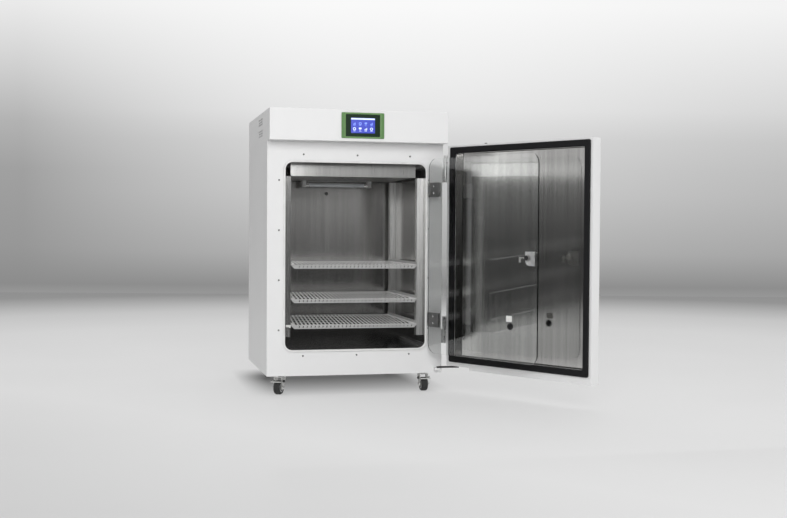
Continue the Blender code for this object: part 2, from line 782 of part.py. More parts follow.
def make_air_path():
    front, back = PLENUM_FRONT_Y, PLENUM_BACK_Y
    half = PLENUM_WIDTH / 2
    plenum = box(
        "plenum_cover",
        (-half, front, PLENUM_BOTTOM),
        (half, back, CHAMBER_TOP - CLEAR),
        STAINLESS,
        open_sides=((0, 0, 1),),
    )
    shell(plenum, LINER)
    openings = []
    for number in range(10):
        angle = 36.0 * number
        slot = box(f"intake_slot_{number}", (0.016, -0.005, -0.005), (FAN_RADIUS - 0.004, 0.005, 0.005))
        slot.rotation_euler = (0.0, 0.0, math.radians(angle))
        slot.location = Matrix.Rotation(math.radians(angle), 3, "Z") @ slot.location + Vector((0.0, FAN_Y, PLENUM_BOTTOM))
        openings.append(slot)
    pitch = (back - front) / (PLENUM_OUTLETS + 1)
    for side in (-1, 1):
        for number in range(PLENUM_OUTLETS):
            y = front + pitch * (number + 0.7)
            low = (side * half - 0.006, y, PLENUM_BOTTOM + 0.25 * PLENUM_HEIGHT)
            high = (side * half + 0.006, y + 0.6 * pitch, PLENUM_BOTTOM + 0.67 * PLENUM_HEIGHT)
            openings.append(box(f"outlet_{side}_{number}", low, high))
    cut(plenum, *openings)
    make_fan()
    make_lamp()
    make_probe()


def make_fan():
    """A centrifugal wheel with straight radial blades between a disc and a ring, on its shaft."""
    axis = hub("fan_axis", (0.0, FAN_Y, 0.0))
    top = CHAMBER_TOP - 0.008
    bottom = top - FAN_HEIGHT
    motor_top = HEAD_FLOOR_TOP + MOTOR_HEIGHT
    wheel = turned(
        "fan_wheel",
        [
            (0.0, motor_top),
            (SHAFT_RADIUS, motor_top),
            (SHAFT_RADIUS, top + 0.002),
            (0.009, top + 0.002),
            (0.009, top),
            (FAN_RADIUS, top),
            (FAN_RADIUS, top - 0.0015),
            (0.009, top - 0.0015),
            (0.007, bottom + 0.006),
            (0.0, bottom + 0.006),
        ],
        (0.0, FAN_Y, 0.0),
        "Z",
        STAINLESS,
        carrier=axis,
        steps=24,
    )
    blades = []
    for number in range(FAN_BLADES):
        angle = math.radians(360.0 * number / FAN_BLADES)
        blade = box(f"blade_{number}", (0.024, -0.0006, bottom), (FAN_RADIUS - 0.001, 0.0006, top - 0.001), carrier=axis)
        blade.location = Matrix.Rotation(angle, 3, "Z") @ Vector((0.039, 0.0, (bottom + top - 0.001) / 2))
        blade.rotation_euler = (0.0, 0.0, angle)
        blades.append(blade)
    join(wheel, *blades)


def make_lamp():
    """The germicidal tube between its two holders, under a thin reflector at the back of the plenum."""
    lamp_y = PLENUM_BACK_Y - LAMP_BACK_GAP
    top = PLENUM_BOTTOM - CLEAR
    lamp_z = top - HOLDER_DROP + LAMP_RADIUS + 0.002
    reach = LAMP_LENGTH / 2
    lamp = rod("ultraviolet_lamp", LAMP_RADIUS, -reach - 0.002, reach + 0.002, (LAMP_X, lamp_y, lamp_z), "X", GLASS, steps=12)
    for side in (-1, 1):
        near, far = sorted((LAMP_X + side * reach, LAMP_X + side * (reach + HOLDER_LENGTH)))
        holder = box(
            f"holder_{side}",
            (near, lamp_y - HOLDER_WIDTH / 2, top - HOLDER_DROP),
            (far, lamp_y + HOLDER_WIDTH / 2, top),
        )
        join(lamp, holder)
    reflector = box(
        "reflector",
        (LAMP_X - reach - 0.001, lamp_y - HOLDER_WIDTH / 2 + 0.001, top - REFLECTOR_SHEET - 0.001),
        (LAMP_X + reach + 0.001, lamp_y + HOLDER_WIDTH / 2 - 0.001, top - 0.001),
    )
    join(lamp, reflector)


def probe_xy():
    return (PROBE_X, CHAMBER_BACK)


def probe_z():
    return CHAMBER_TOP - PROBE_BELOW_TOP


def make_probe():
    profile = [
        (0.0, PROBE_LENGTH), (PROBE_RADIUS - 0.001, PROBE_LENGTH), (PROBE_RADIUS, PROBE_LENGTH - 0.004),
        (PROBE_RADIUS, 0.003), (0.007, 0.003), (0.007, CLEAR), (PROBE_RADIUS, CLEAR), (PROBE_RADIUS, -0.025),
        (0.0, -0.025),
    ]
    turned("chamber_probe", profile, (*probe_xy(), probe_z()), "-Y", STAINLESS, steps=12)


def slot_height(number):
    return UPRIGHT_Z + SLOT_START + SLOT_PITCH * number


def make_shelving():
    for side_name, side in (("left", -1), ("right", 1)):
        for end_name, y in (("front", UPRIGHT_FRONT_Y), ("rear", UPRIGHT_BACK_Y)):
            make_upright(f"upright_{end_name}_{side_name}", side, y)
    for level, slot in enumerate(SHELF_SLOTS, start=1):
        make_runners(level, slot)
        make_shelf(level, slot)


def make_upright(name, side, y):
    """A channel that stands on the chamber wall, with a column of slots in its face."""
    inner, outer = side * UPRIGHT_INNER_X, side * (CHAMBER_HALF - CLEAR)
    upright = box(
        name,
        (min(inner, outer), y, UPRIGHT_Z),
        (max(inner, outer), y + UPRIGHT_FACE, UPRIGHT_Z + UPRIGHT_HEIGHT),
        STAINLESS,
        open_sides=((side, 0, 0), (0, 0, 1), (0, 0, -1)),
    )
    shell(upright, SHELF_SHEET)
    middle = y + UPRIGHT_FACE / 2
    slots = []
    for number in range(UPRIGHT_SLOTS):
        low = (inner - 0.004, middle - SLOT_WIDTH / 2, slot_height(number) - SLOT_HEIGHT / 2)
        high = (inner + 0.004, middle + SLOT_WIDTH / 2, slot_height(number) + SLOT_HEIGHT / 2)
        slots.append(box(f"{name}_slot_{number}", low, high))
    cut(upright, gather_cutter(f"{name}_slots", slots))


def gather_cutter(name, objects):
    """Joins separate cutters into one, so that one Boolean makes the whole pattern."""
    bpy.context.view_layer.update()
    bm = bmesh.new()
    for obj in objects:
        piece = obj.data.copy()
        piece.transform(obj.matrix_world)
        bm.from_mesh(piece)
        bpy.data.meshes.remove(piece)
        bpy.data.objects.remove(obj, do_unlink=True)
    mesh = bpy.data.meshes.new(name)
    bm.to_mesh(mesh)
    bm.free()
    return add(name, mesh, (0.0, 0.0, 0.0))


def ledge_top(slot):
    return slot_height(slot) + 0.001


def make_runners(level, slot):
    """A pair of angle rails, each hooked into one front and one rear upright."""
    for side_name, side in (("left", -1), ("right", 1)):
        face = side * (UPRIGHT_INNER_X - CLEAR)
        top = ledge_top(slot)
        front, back = UPRIGHT_FRONT_Y - 0.008, UPRIGHT_BACK_Y + UPRIGHT_FACE
        ledge_edge = face - side * RUNNER_LEDGE
        rail = box(
            f"shelf_runner_{level}_{side_name}",
            (min(face, ledge_edge), front, top - SHELF_SHEET),
            (max(face, ledge_edge), back, top),
            STAINLESS,
        )
        leg_edge = face - side * SHELF_SHEET
        leg = box(
            f"runner_leg_{level}_{side}",
            (min(face, leg_edge), front, top - SHELF_SHEET),
            (max(face, leg_edge), back, top + RUNNER_LEG - SHELF_SHEET),
        )
        tabs = []
        for y in (UPRIGHT_FRONT_Y, UPRIGHT_BACK_Y):
            middle = y + UPRIGHT_FACE / 2
            tip = face + side * 0.008
            base = face - side * SHELF_SHEET
            low = (min(base, tip), middle - 0.0025, slot_height(slot) - 0.0045)
            high = (max(base, tip), middle + 0.0025, slot_height(slot) + 0.0045)
            tabs.append(box(f"runner_tab_{level}_{side}_{y}", low, high))
        join(rail, leg, *tabs)


def make_shelf(level, slot):
    """A perforated sheet with a turned-down lip at the front and a short one at the back."""
    carrier = hub(f"shelf_{level}_slide", (0.0, SHELF_FRONT_Y, ledge_top(slot)))
    bottom = ledge_top(slot) + CLEAR
    top = bottom + SHELF_SHEET
    sheet = box(
        f"shelf_{level}",
        (-SHELF_HALF, SHELF_FRONT_Y, bottom),
        (SHELF_HALF, SHELF_BACK_Y, top),
        STAINLESS,
        carrier,
    )
    chamfer = 0.010
    lip_outline = [
        (-SHELF_HALF, top), (-SHELF_HALF, top - 0.004), (-SHELF_HALF + chamfer, top - SHELF_LIP),
        (SHELF_HALF - chamfer, top - SHELF_LIP), (SHELF_HALF, top - 0.004), (SHELF_HALF, top),
    ]
    lip = plate(f"shelf_lip_{level}", [lip_outline], SHELF_FRONT_Y, SHELF_SHEET, "Y", carrier=carrier)
    back_half = SHELF_HALF - RUNNER_LEDGE - 0.004
    back_lip = box(
        f"shelf_back_lip_{level}",
        (-back_half, SHELF_BACK_Y - SHELF_SHEET, top - SHELF_LIP * 0.7),
        (back_half, SHELF_BACK_Y, top),
        carrier=carrier,
    )
    join(sheet, lip, back_lip)
    cut(sheet, perforation(level, top, carrier))


def perforation(level, top, carrier):
    """Slanted slots in staggered rows, all as one cutter."""
    width = 2 * (SHELF_HALF - 0.020)
    depth = SHELF_BACK_Y - SHELF_FRONT_Y - 0.040
    across, along = width / PERFORATION_COLUMNS, depth / PERFORATION_ROWS
    slots = []
    for row in range(PERFORATION_ROWS):
        shift = 0.25 if row % 2 else -0.25
        for column in range(PERFORATION_COLUMNS):
            x = -width / 2 + across * (column + 0.5 + shift * 0.8)
            y = SHELF_FRONT_Y + 0.020 + along * (row + 0.5)
            low = (-PERFORATION_LENGTH / 2, -PERFORATION_WIDTH / 2, -0.003)
            high = (PERFORATION_LENGTH / 2, PERFORATION_WIDTH / 2, 0.003)
            slot = box(f"perforation_{level}_{row}_{column}", low, high)
            slot.location = (x, y, top - SHELF_SHEET / 2)
            slot.rotation_euler = (0.0, 0.0, math.radians(-PERFORATION_SLANT))
            slots.append(slot)
    cutter = gather_cutter(f"perforation_{level}", slots)
    cutter.parent = carrier
    cutter.location = -Vector(carrier["home"])
    return cutter


def make_outer_door(frame):
    swing = hub("outer_door_axis", DOOR_HINGE, DOOR_OPEN)
    door = box(
        "outer_door",
        (DOOR_LEFT, DOOR_FRONT, DOOR_BOTTOM),
        (DOOR_RIGHT, DOOR_BACK, DOOR_TOP),
        STEEL_WHITE,
        swing,
    )
    left = DOOR_LEFT + GASKET_MARGIN_FREE
    right = DOOR_RIGHT - GASKET_MARGIN_HINGE
    bottom = DOOR_BOTTOM + GASKET_MARGIN_BOTTOM
    top = DOOR_TOP - GASKET_MARGIN_TOP
    inner_low = (left + GASKET_BAND, bottom + GASKET_BAND)
    inner_high = (right - GASKET_BAND_HINGE, top - GASKET_BAND)
    recess = box(
        "panel_recess",
        (inner_low[0], DOOR_BACK - PANEL_RECESS, inner_low[1]),
        (inner_high[0], DOOR_BACK + 0.01, inner_high[1]),
        carrier=swing,
    )
    notch = box(
        "stay_notch",
        (DOOR_HINGE.x - STAY_NOTCH_LENGTH, DOOR_FRONT - 0.01, DOOR_BOTTOM - 0.01),
        (DOOR_RIGHT + 0.01, DOOR_BACK + 0.01, DOOR_BOTTOM + STAY_NOTCH_HEIGHT),
        carrier=swing,
    )
    bevel(door, DOOR_EDGE_RADIUS, 3).limit_method = "WEIGHT"
    weight_front_edges(door.data)
    cut(door, recess, notch)
    panel = box(
        "door_inner_panel",
        (inner_low[0] + CLEAR, DOOR_BACK - PANEL_RECESS + CLEAR, inner_low[1] + CLEAR),
        (inner_high[0] - CLEAR, DOOR_BACK, inner_high[1] - CLEAR),
        STAINLESS,
        swing,
        open_sides=((0, 1, 0),),
    )
    shell(panel, LINER)
    middle = ((left + right) / 2, (bottom + top) / 2)
    inner_middle = ((inner_low[0] + inner_high[0]) / 2, (inner_low[1] + inner_high[1]) / 2)
    plate(
        "door_gasket",
        [
            rounded(right - left, top - bottom, 0.006, middle, 3),
            rounded(inner_high[0] - inner_low[0], inner_high[1] - inner_low[1], 0.003, inner_middle, 2),
        ],
        DOOR_BACK + CLEAR,
        DOOR_GAP - 2 * CLEAR,
        "Y",
        RUBBER_BLACK,
        carrier=swing,
        edge=0.002,
    )
    make_door_hinges(swing)
    make_handle(swing)
    make_stay(frame)


def weight_front_edges(mesh):
    """Marks the edges round the outer face of a door, which are the rounded ones."""
    front = min(v.co.y for v in mesh.vertices)
    weights = mesh.attributes.new("bevel_weight_edge", "FLOAT", "EDGE")
    for edge in mesh.edges:
        ends = [mesh.vertices[k].co.y for k in edge.vertices]
        weights.data[edge.index].value = 1.0 if max(ends) < front + 0.0001 else 0.0


def make_door_hinges(swing):
    """Lift-off hinges: the cabinet leaf carries the pin, and the door leaf turns on it."""
    axis_x, axis_y = DOOR_HINGE.x, DOOR_HINGE.y
    for number, above in zip(("lower", "upper"), HINGE_HEIGHTS):
        low = BODY_BOTTOM + above
        split = low + KNUCKLE_HEIGHT
        high = split + CLEAR + DOOR_KNUCKLE_HEIGHT
        bore = HINGE_PIN_RADIUS + CLEAR
        here = (axis_x, axis_y, 0.0)
        knuckle = turned(
            f"cabinet_hinge_{number}",
            [
                (0.0, high),
                (HINGE_PIN_RADIUS, high),
                (HINGE_PIN_RADIUS, split),
                (KNUCKLE_RADIUS, split),
                (KNUCKLE_RADIUS, low),
                (0.0, low),
            ],
            here,
            "Z",
            STEEL_GREY,
        )
        leaf = box(
            f"fixed_leaf_{number}",
            (HALF + CLEAR, axis_y + 0.0045, low),
            (HALF + CLEAR + LEAF, axis_y + HINGE_FORWARD + LEAF_LENGTH, split),
        )
        neck = box(
            f"fixed_neck_{number}",
            (HALF + CLEAR, axis_y + 0.0012, low),
            (axis_x - 0.0040, axis_y + 0.0050, split),
        )
        join(knuckle, leaf, neck)
        turn = rod(
            f"door_hinge_{number}",
            KNUCKLE_RADIUS,
            split + CLEAR,
            high,
            here,
            "Z",
            STEEL_GREY,
            carrier=swing,
            bore=bore,
        )
        door_leaf = box(
            f"door_leaf_{number}",
            (DOOR_RIGHT + CLEAR, DOOR_BACK - LEAF_LENGTH, split + CLEAR),
            (DOOR_RIGHT + CLEAR + LEAF, axis_y - 0.0045, high),
            carrier=swing,
        )
        door_neck = box(
            f"door_neck_{number}",
            (DOOR_RIGHT + CLEAR, axis_y - 0.0050, split + CLEAR),
            (axis_x - 0.0045, axis_y - 0.0012, high),
            carrier=swing,
        )
        join(turn, door_leaf, door_neck)


def make_handle(swing):
    """A bar handle on the outer face, bent from one round bar, with its two feet on the door."""
    x = DOOR_LEFT + HANDLE_INSET
    middle = (DOOR_BOTTOM + DOOR_TOP) / 2
    foot = DOOR_FRONT - CLEAR
    bend = 0.016
    route = [(foot, middle - HANDLE_LENGTH / 2)]
    for corner, turn in (((foot - HANDLE_REACH, middle - HANDLE_LENGTH / 2), 0), ((foot - HANDLE_REACH, middle + HANDLE_LENGTH / 2), 1)):
        for step in range(5):
            angle = math.radians(90.0 * step / 4)
            if turn == 0:
                y = corner[0] + bend - bend * math.sin(angle)
                z = corner[1] + bend - bend * math.cos(angle)
            else:
                y = corner[0] + bend - bend * math.cos(angle)
                z = corner[1] - bend + bend * math.sin(angle)
            route.append((y, z))
    route.append((foot, middle + HANDLE_LENGTH / 2))
    curve = bpy.data.curves.new("door_handle", "CURVE")
    curve.dimensions = "3D"
    curve.bevel_depth = HANDLE_RADIUS
    curve.bevel_resolution = 2
    curve.use_fill_caps = True
    spline = curve.splines.new("POLY")
    spline.points.add(len(route) - 1)
    for point, (y, z) in zip(spline.points, route):
        point.co = (0.0, y - foot, z - middle, 1.0)
    add("door_handle", curve_mesh("door_handle", curve), (x, foot, middle), STEEL_GREY, swing)


def make_stay(frame):
    """The black arm at the foot of the door. It turns on a bracket, inside the door's notch."""
    pivot = Vector((HALF - STAY_X_INSET, -STAY_FORWARD, 0.0))
    low = DOOR_BOTTOM + 0.0008
    bracket = box(
        "stay_bracket",
        (pivot.x - 0.012, pivot.y - 0.006, low - CLEAR - 0.008),
        (pivot.x + 0.006, SHEET / 2, low - CLEAR),
    )
    pin = rod("stay_pin", STAY_PIN_RADIUS, low - 0.004, low + STAY_HEIGHT + 0.0010, pivot, "Z", steps=12)
    join(frame, bracket, pin)
    arm_axis = hub("door_stay_axis", pivot, STAY_TURN)
    outline = [
        (pivot.x + STAY_WIDTH / 2 * math.sin(math.radians(a)), pivot.y + STAY_WIDTH / 2 * math.cos(math.radians(a)))
        for a in range(0, 181, 30)
    ]
    end = pivot.x - STAY_LENGTH
    outline += [
        (end + STAY_WIDTH / 2 - STAY_WIDTH / 2 * math.sin(math.radians(a)), pivot.y - STAY_WIDTH / 2 * math.cos(math.radians(a)))
        for a in range(0, 181, 30)
    ]
    plate(
        "door_stay",
        [outline, circle(STAY_PIN_RADIUS + CLEAR, (pivot.x, pivot.y), 12)],
        low,
        STAY_HEIGHT,
        "Z",
        BLACK_STEEL,
        carrier=arm_axis,
    )


def make_glass_door():
    swing = hub("glass_door_axis", GLASS_HINGE, GLASS_OPEN)
    bottom = CHAMBER_BOTTOM - GLASS_OVERLAP_BOTTOM
    top = CHAMBER_TOP + GLASS_OVERLAP_TOP
    latch = latch_place()
    holes = [circle(LATCH_SPINDLE_RADIUS + CLEAR, latch, 14), circle(PORT_RADIUS + CLEAR, (PORT_X, PORT_Z), 20)]
    for height in GLASS_HINGE_HEIGHTS:
        holes += [circle(CLAMP_STUD_RADIUS + CLEAR, (x, height + dz), 10) for x, dz in stud_places()]
    plate(
        "glass_pane",
        [rounded(2 * GLASS_HALF, top - bottom, GLASS_RADIUS, (0.0, (bottom + top) / 2), 6), *holes],
        GLASS_FRONT,
        GLASS_THICKNESS,
        "Y",
        GLASS,
        carrier=swing,
    )
    make_glass_hinges(swing)
    make_latch(swing, latch)
    make_port(swing)


def latch_place():
    return (-CHAMBER_HALF + LATCH_X_INSET, LATCH_Z)


def stud_places():
    x = GLASS_HALF - CLAMP_OUTER_LENGTH / 2
    return ((x, 0.012), (x, -0.012))


def make_glass_hinges(swing):
    """Clamps on the pane turn on pins between the two ears of a bracket on the front frame."""
    axis = GLASS_HINGE
    here = (axis.x, axis.y, 0.0)
    for number, height in zip(("lower", "upper"), GLASS_HINGE_HEIGHTS):
        low, high = height - CLAMP_HEIGHT / 2, height + CLAMP_HEIGHT / 2
        ear_inner = (low + CLAMP_EAR, high - CLAMP_EAR)
        bore = GLASS_PIN_RADIUS + CLEAR
        outer_start = GLASS_FRONT - CLEAR - CLAMP_OUTER_PLATE
        clamp = box(
            f"glass_hinge_clamp_{number}",
            (GLASS_HALF - CLAMP_OUTER_LENGTH, outer_start, low),
            (GLASS_HALF + 0.0005, GLASS_FRONT - CLEAR, high),
            STEEL_GREY,
            swing,
        )
        web = box(
            f"clamp_web_{number}",
            (GLASS_HALF - 0.004, axis.y - 0.0010, ear_inner[0] + CLEAR),
            (axis.x - GLASS_PIN_RADIUS - 0.0012, GLASS_FRONT - CLEAR, ear_inner[1] - CLEAR),
            carrier=swing,
        )
        knuckle = rod(
            f"clamp_knuckle_{number}",
            GLASS_KNUCKLE_RADIUS,
            ear_inner[0] + CLEAR,
            ear_inner[1] - CLEAR,
            here,
            "Z",
            carrier=swing,
            steps=12,
            bore=bore,
        )
        inner_edge = CHAMBER_HALF - 0.002
        inner = box(
            f"clamp_inner_{number}",
            (inner_edge - CLAMP_INNER_LENGTH, GLASS_BACK + CLEAR, low),
            (inner_edge, GLASS_BACK + CLEAR + CLAMP_INNER_PLATE, high),
            carrier=swing,
        )
        studs = [
            rod(
                f"clamp_stud_{number}_{dz}",
                CLAMP_STUD_RADIUS,
                GLASS_FRONT - 0.001,
                GLASS_BACK + 0.001,
                (x, 0.0, height + dz),
                "Y",
                carrier=swing,
                steps=10,
            )
            for x, dz in stud_places()
        ]
        join(clamp, web, knuckle, inner, *studs)
        base = box(
            f"glass_hinge_bracket_{number}",
            (CHAMBER_HALF + SEAL_WIDTH + 0.0008, -CLEAR - 0.003, low),
            (CHAMBER_HALF + SEAL_WIDTH + 0.0130, -CLEAR, high),
            STEEL_GREY,
        )
        for end, (start, stop) in enumerate(((low, ear_inner[0]), (ear_inner[1], high))):
            ear = box(
                f"ear_{number}_{end}",
                (axis.x - 0.0022, axis.y, start),
                (axis.x + 0.0034, -CLEAR - 0.002, stop),
            )
            ring = rod(f"ear_ring_{number}_{end}", GLASS_KNUCKLE_RADIUS, start, stop, here, "Z", steps=12)
            join(base, ear, ring)
        pin = rod(f"glass_pin_{number}", GLASS_PIN_RADIUS, low + 0.002, high - 0.002, here, "Z", steps=8)
        join(base, pin)


def make_latch(swing, latch):
    """A plate with one rounded corner on the inner face, and the turning latch through the pane."""
    x, z = latch
    left, right = x - 0.031, x - 0.031 + LATCH_PLATE_WIDTH
    low, high = z - 0.0255, z - 0.0255 + LATCH_PLATE_HEIGHT
    corner = 0.018
    outline = [(left, high), (left, low)]
    for step in range(5):
        angle = math.radians(-90.0 + 90.0 * step / 4)
        outline.append((right - corner + corner * math.cos(angle), low + corner + corner * math.sin(angle)))
    outline.append((right, high))
    plate(
        "glass_latch_plate",
        [outline, circle(LATCH_SPINDLE_RADIUS + 0.0026, latch, 14)],
        GLASS_BACK + CLEAR,
        0.0015,
        "Y",
        STEEL_GREY,
        carrier=swing,
    )
    axis = hub("glass_latch_axis", (x, GLASS_FRONT, z), parent=swing)
    spindle = turned(
        "glass_latch",
        [
            (0.0, 0.0120),
            (0.0045, 0.0120),
            (0.0060, 0.0105),
            (0.0060, GLASS_THICKNESS + CLEAR),
            (LATCH_SPINDLE_RADIUS, GLASS_THICKNESS + CLEAR),
            (LATCH_SPINDLE_RADIUS, -CLEAR),
            (0.0095, -CLEAR),
            (0.0095, -0.0060),
            (0.0080, -0.0075),
            (0.0, -0.0075),
        ],
        (x, GLASS_FRONT, z),
        "Y",
        STEEL_GREY,
        carrier=axis,
        steps=14,
    )
    arm = box(
        "latch_arm",
        (x, GLASS_FRONT + 0.0080, z - 0.0030),
        (x + LATCH_ARM, GLASS_FRONT + 0.0105, z + 0.0030),
        carrier=axis,
    )
    tip = box(
        "latch_tip",
        (x + LATCH_ARM - 0.008, GLASS_FRONT + 0.0080, z - 0.0150),
        (x + LATCH_ARM, GLASS_FRONT + 0.0105, z + 0.0030),
        carrier=axis,
    )
    join(spindle, arm, tip)


def make_port(swing):
    """A rubber bung in the round access port of the pane."""
    slide = hub("port_plug_slide", (PORT_X, GLASS_FRONT, PORT_Z), parent=swing)
    turned(
        "port_plug",
        [
            (0.0, 0.0080),
            (PORT_RADIUS - 0.002, 0.0080),
            (PORT_RADIUS - 0.0005, GLASS_THICKNESS),
            (PORT_RADIUS, 0.0),
            (PORT_RADIUS, -CLEAR),
            (PORT_RADIUS + 0.0025, -CLEAR),
            (PORT_RADIUS + 0.0025, -0.0040),
            (0.0, -0.0040),
        ],
        (PORT_X, GLASS_FRONT, PORT_Z),
        "Y",
        RUBBER_BLACK,
        carrier=slide,
        steps=20,
    )


def make_castors(pan):
    for end_name, y, trail in (("front", CASTOR_INSET_Y, -CASTOR_TRAIL), ("rear", CABINET_DEPTH - CASTOR_INSET_Y, CASTOR_TRAIL)):
        for side_name, side in (("left", -1), ("right", 1)):
            name = f"{end_name}_{side_name}"
            at = Vector((side * (CASTOR_FRONT_X if end_name == "front" else CASTOR_REAR_X), y, 0.0))
            make_castor_plate(name, at, pan)
            swivel = hub(f"castor_swivel_{name}", at, CASTOR_TURN if name == "front_left" else 0.0)
            make_fork(name, at, trail, swivel)
            spin = hub(f"castor_spin_{name}", at + Vector((0.0, trail, WHEEL_RADIUS)), parent=swivel)
            make_wheel(name, at, trail, spin)
            if end_name == "front":
                make_brake(name, at, trail, swivel)


def crown_top():
    return BODY_BOTTOM - CASTOR_PLATE_THICKNESS - 0.0035


def make_castor_plate(name, at, pan):
    """The top plate and the kingpin, which belong to the base pan."""
    half = CASTOR_PLATE / 2
    under = BODY_BOTTOM - CASTOR_PLATE_THICKNESS
    base = box(f"plate_{name}", (at.x - half, at.y - half, under), (at.x + half, at.y + half, BODY_BOTTOM + 0.001))
    crown = crown_top()
    stem = turned(
        f"kingpin_{name}",
        [
            (0.0, under + 0.001),
            (0.014, under + 0.001),
            (0.014, crown + CLEAR),
            (KINGPIN_RADIUS, crown + CLEAR),
            (KINGPIN_RADIUS, crown - FORK_SHEET - CLEAR),
            (0.0070, crown - FORK_SHEET - CLEAR),
            (0.0070, crown - FORK_SHEET - 0.0035),
            (0.0, crown - FORK_SHEET - 0.0035),
        ],
        at,
        "Z",
        steps=10,
    )
    join(pan, base, stem)


def make_fork(name, at, trail, swivel):
    """The swivelling fork: a crown on the kingpin, two cheeks down to the axle, and the axle with its nuts."""
    crown = crown_top()
    gap = WHEEL_WIDTH / 2 + 0.0012
    reach = trail + math.copysign(0.008, trail)
    back = -math.copysign(0.012, trail)
    low_y, high_y = sorted((at.y + back, at.y + reach))
    rim = 0.0005
    fork = box(
        f"castor_fork_{name}",
        (at.x - gap - FORK_SHEET - rim, low_y - rim, crown - FORK_SHEET),
        (at.x + gap + FORK_SHEET + rim, high_y + rim, crown),
        STEEL_GREY,
        swivel,
    )
    axle_y = at.y + trail
    foot = WHEEL_RADIUS - 0.007
    cheek = [
        (at.y + back, crown - 0.001), (at.y + back, crown - 0.006), (axle_y - math.copysign(0.008, trail), foot),
        (axle_y + math.copysign(0.008, trail), foot), (at.y + reach, crown - 0.001),
    ]
    for side in (-1, 1):
        start = at.x + side * gap if side > 0 else at.x - gap - FORK_SHEET
        join(fork, plate(f"cheek_{name}_{side}", [cheek], start, FORK_SHEET, "X", carrier=swivel))
    hole = rod(f"kingpin_hole_{name}", KINGPIN_RADIUS + CLEAR, crown - 0.01, crown + 0.01, at, "Z", carrier=swivel, steps=14)
    axle_at = (at.x, axle_y, WHEEL_RADIUS)
    nut = gap + FORK_SHEET + 0.004
    axle = rod(f"axle_{name}", AXLE_RADIUS, -nut, nut, axle_at, "X", carrier=swivel, steps=12)
    nuts = [
        rod(f"nut_{name}_{side}", 0.006, nut - 0.0045, nut - 0.0005, axle_at, "X" if side > 0 else "-X", carrier=swivel, steps=6)
        for side in (-1, 1)
    ]
    cut(fork, hole)
    join(fork, axle, *nuts)


def make_wheel(name, at, trail, spin):
    half = WHEEL_WIDTH / 2
    turned(
        f"castor_wheel_{name}",
        [
            (AXLE_RADIUS + CLEAR, half),
            (0.009, half),
            (0.0165, half - 0.003),
            (0.0175, half - 0.0005),
            (WHEEL_RADIUS - 0.003, half - 0.0005),
            (WHEEL_RADIUS, half - 0.005),
            (WHEEL_RADIUS, -half + 0.005),
            (WHEEL_RADIUS - 0.003, -half + 0.0005),
            (0.0175, -half + 0.0005),
            (0.0165, -half + 0.003),
            (0.009, -half),
            (AXLE_RADIUS + CLEAR, -half),
        ],
        (at.x, at.y + trail, WHEEL_RADIUS),
        "X",
        RUBBER_BLACK,
        carrier=spin,
        steps=20,
    )


def make_brake(name, at, trail, swivel):
    """The foot lever that straddles the fork and swings down on to the tyre."""
    gap = WHEEL_WIDTH / 2 + 0.0012 + FORK_SHEET + CLEAR
    pivot = Vector((at.x, at.y + trail, 2 * WHEEL_RADIUS - 0.0020))
    axis = hub(f"castor_brake_{name}", pivot, parent=swivel)
    cheek = [
        (pivot.y - 0.005, pivot.z - 0.004), (pivot.y + 0.006, pivot.z - 0.004), (pivot.y + 0.006, pivot.z + 0.004),
        (pivot.y - 0.010, pivot.z + 0.004), (pivot.y - 0.020, pivot.z + 0.001), (pivot.y - 0.020, pivot.z - 0.002),
    ]
    lever = box(
        f"castor_brake_lever_{name}",
        (pivot.x - gap - 0.003, pivot.y - 0.029, pivot.z - 0.0020),
        (pivot.x + gap + 0.003, pivot.y - 0.0170, pivot.z + 0.0010),
        STEEL_GREY,
        axis,
    )
    for side in (-1, 1):
        start = pivot.x + side * gap if side > 0 else pivot.x - gap - 0.003
        join(lever, plate(f"brake_cheek_{name}_{side}", [cheek], start, 0.003, "X", carrier=axis))


def smooth_round_pieces():
    for obj in Build.parts.objects:
        if obj.type == "MESH":
            obj.data.shade_smooth()
            obj.data.set_sharp_from_angle(angle=math.radians(32.0))


def main():
    start()
    frame, pan = make_cabinet()
    make_head()
    make_air_path()
    make_shelving()
    make_outer_door(frame)
    make_glass_door()
    make_castors(pan)
    smooth_round_pieces()
    bpy.context.view_layer.update()


main()
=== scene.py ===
"""Surfaces, small fittings and studio for a carbon dioxide incubator with a glass inner door."""

from math import atan2, cos, hypot, pi, radians, sin

import bmesh
import bpy
from bpy.props import FloatProperty, FloatVectorProperty, IntProperty, PointerProperty
from mathutils import Matrix, Vector


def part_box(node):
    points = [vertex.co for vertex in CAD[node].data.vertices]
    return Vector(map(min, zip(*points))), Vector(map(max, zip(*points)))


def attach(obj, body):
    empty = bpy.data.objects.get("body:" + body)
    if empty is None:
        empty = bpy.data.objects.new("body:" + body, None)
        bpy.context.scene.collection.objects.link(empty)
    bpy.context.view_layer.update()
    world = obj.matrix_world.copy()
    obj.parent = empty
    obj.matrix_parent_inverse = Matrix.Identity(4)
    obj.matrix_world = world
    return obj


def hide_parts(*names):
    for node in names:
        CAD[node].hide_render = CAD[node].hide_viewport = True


bl_info = {
    "name": "Carbon Dioxide Incubator",
    "version": (1, 0, 0),
    "blender": (4, 5, 0),
    "location": "3D View > Sidebar > Incubator",
    "description": "Dresses a laboratory incubator and sets a plain studio round it",
    "category": "Object",
}

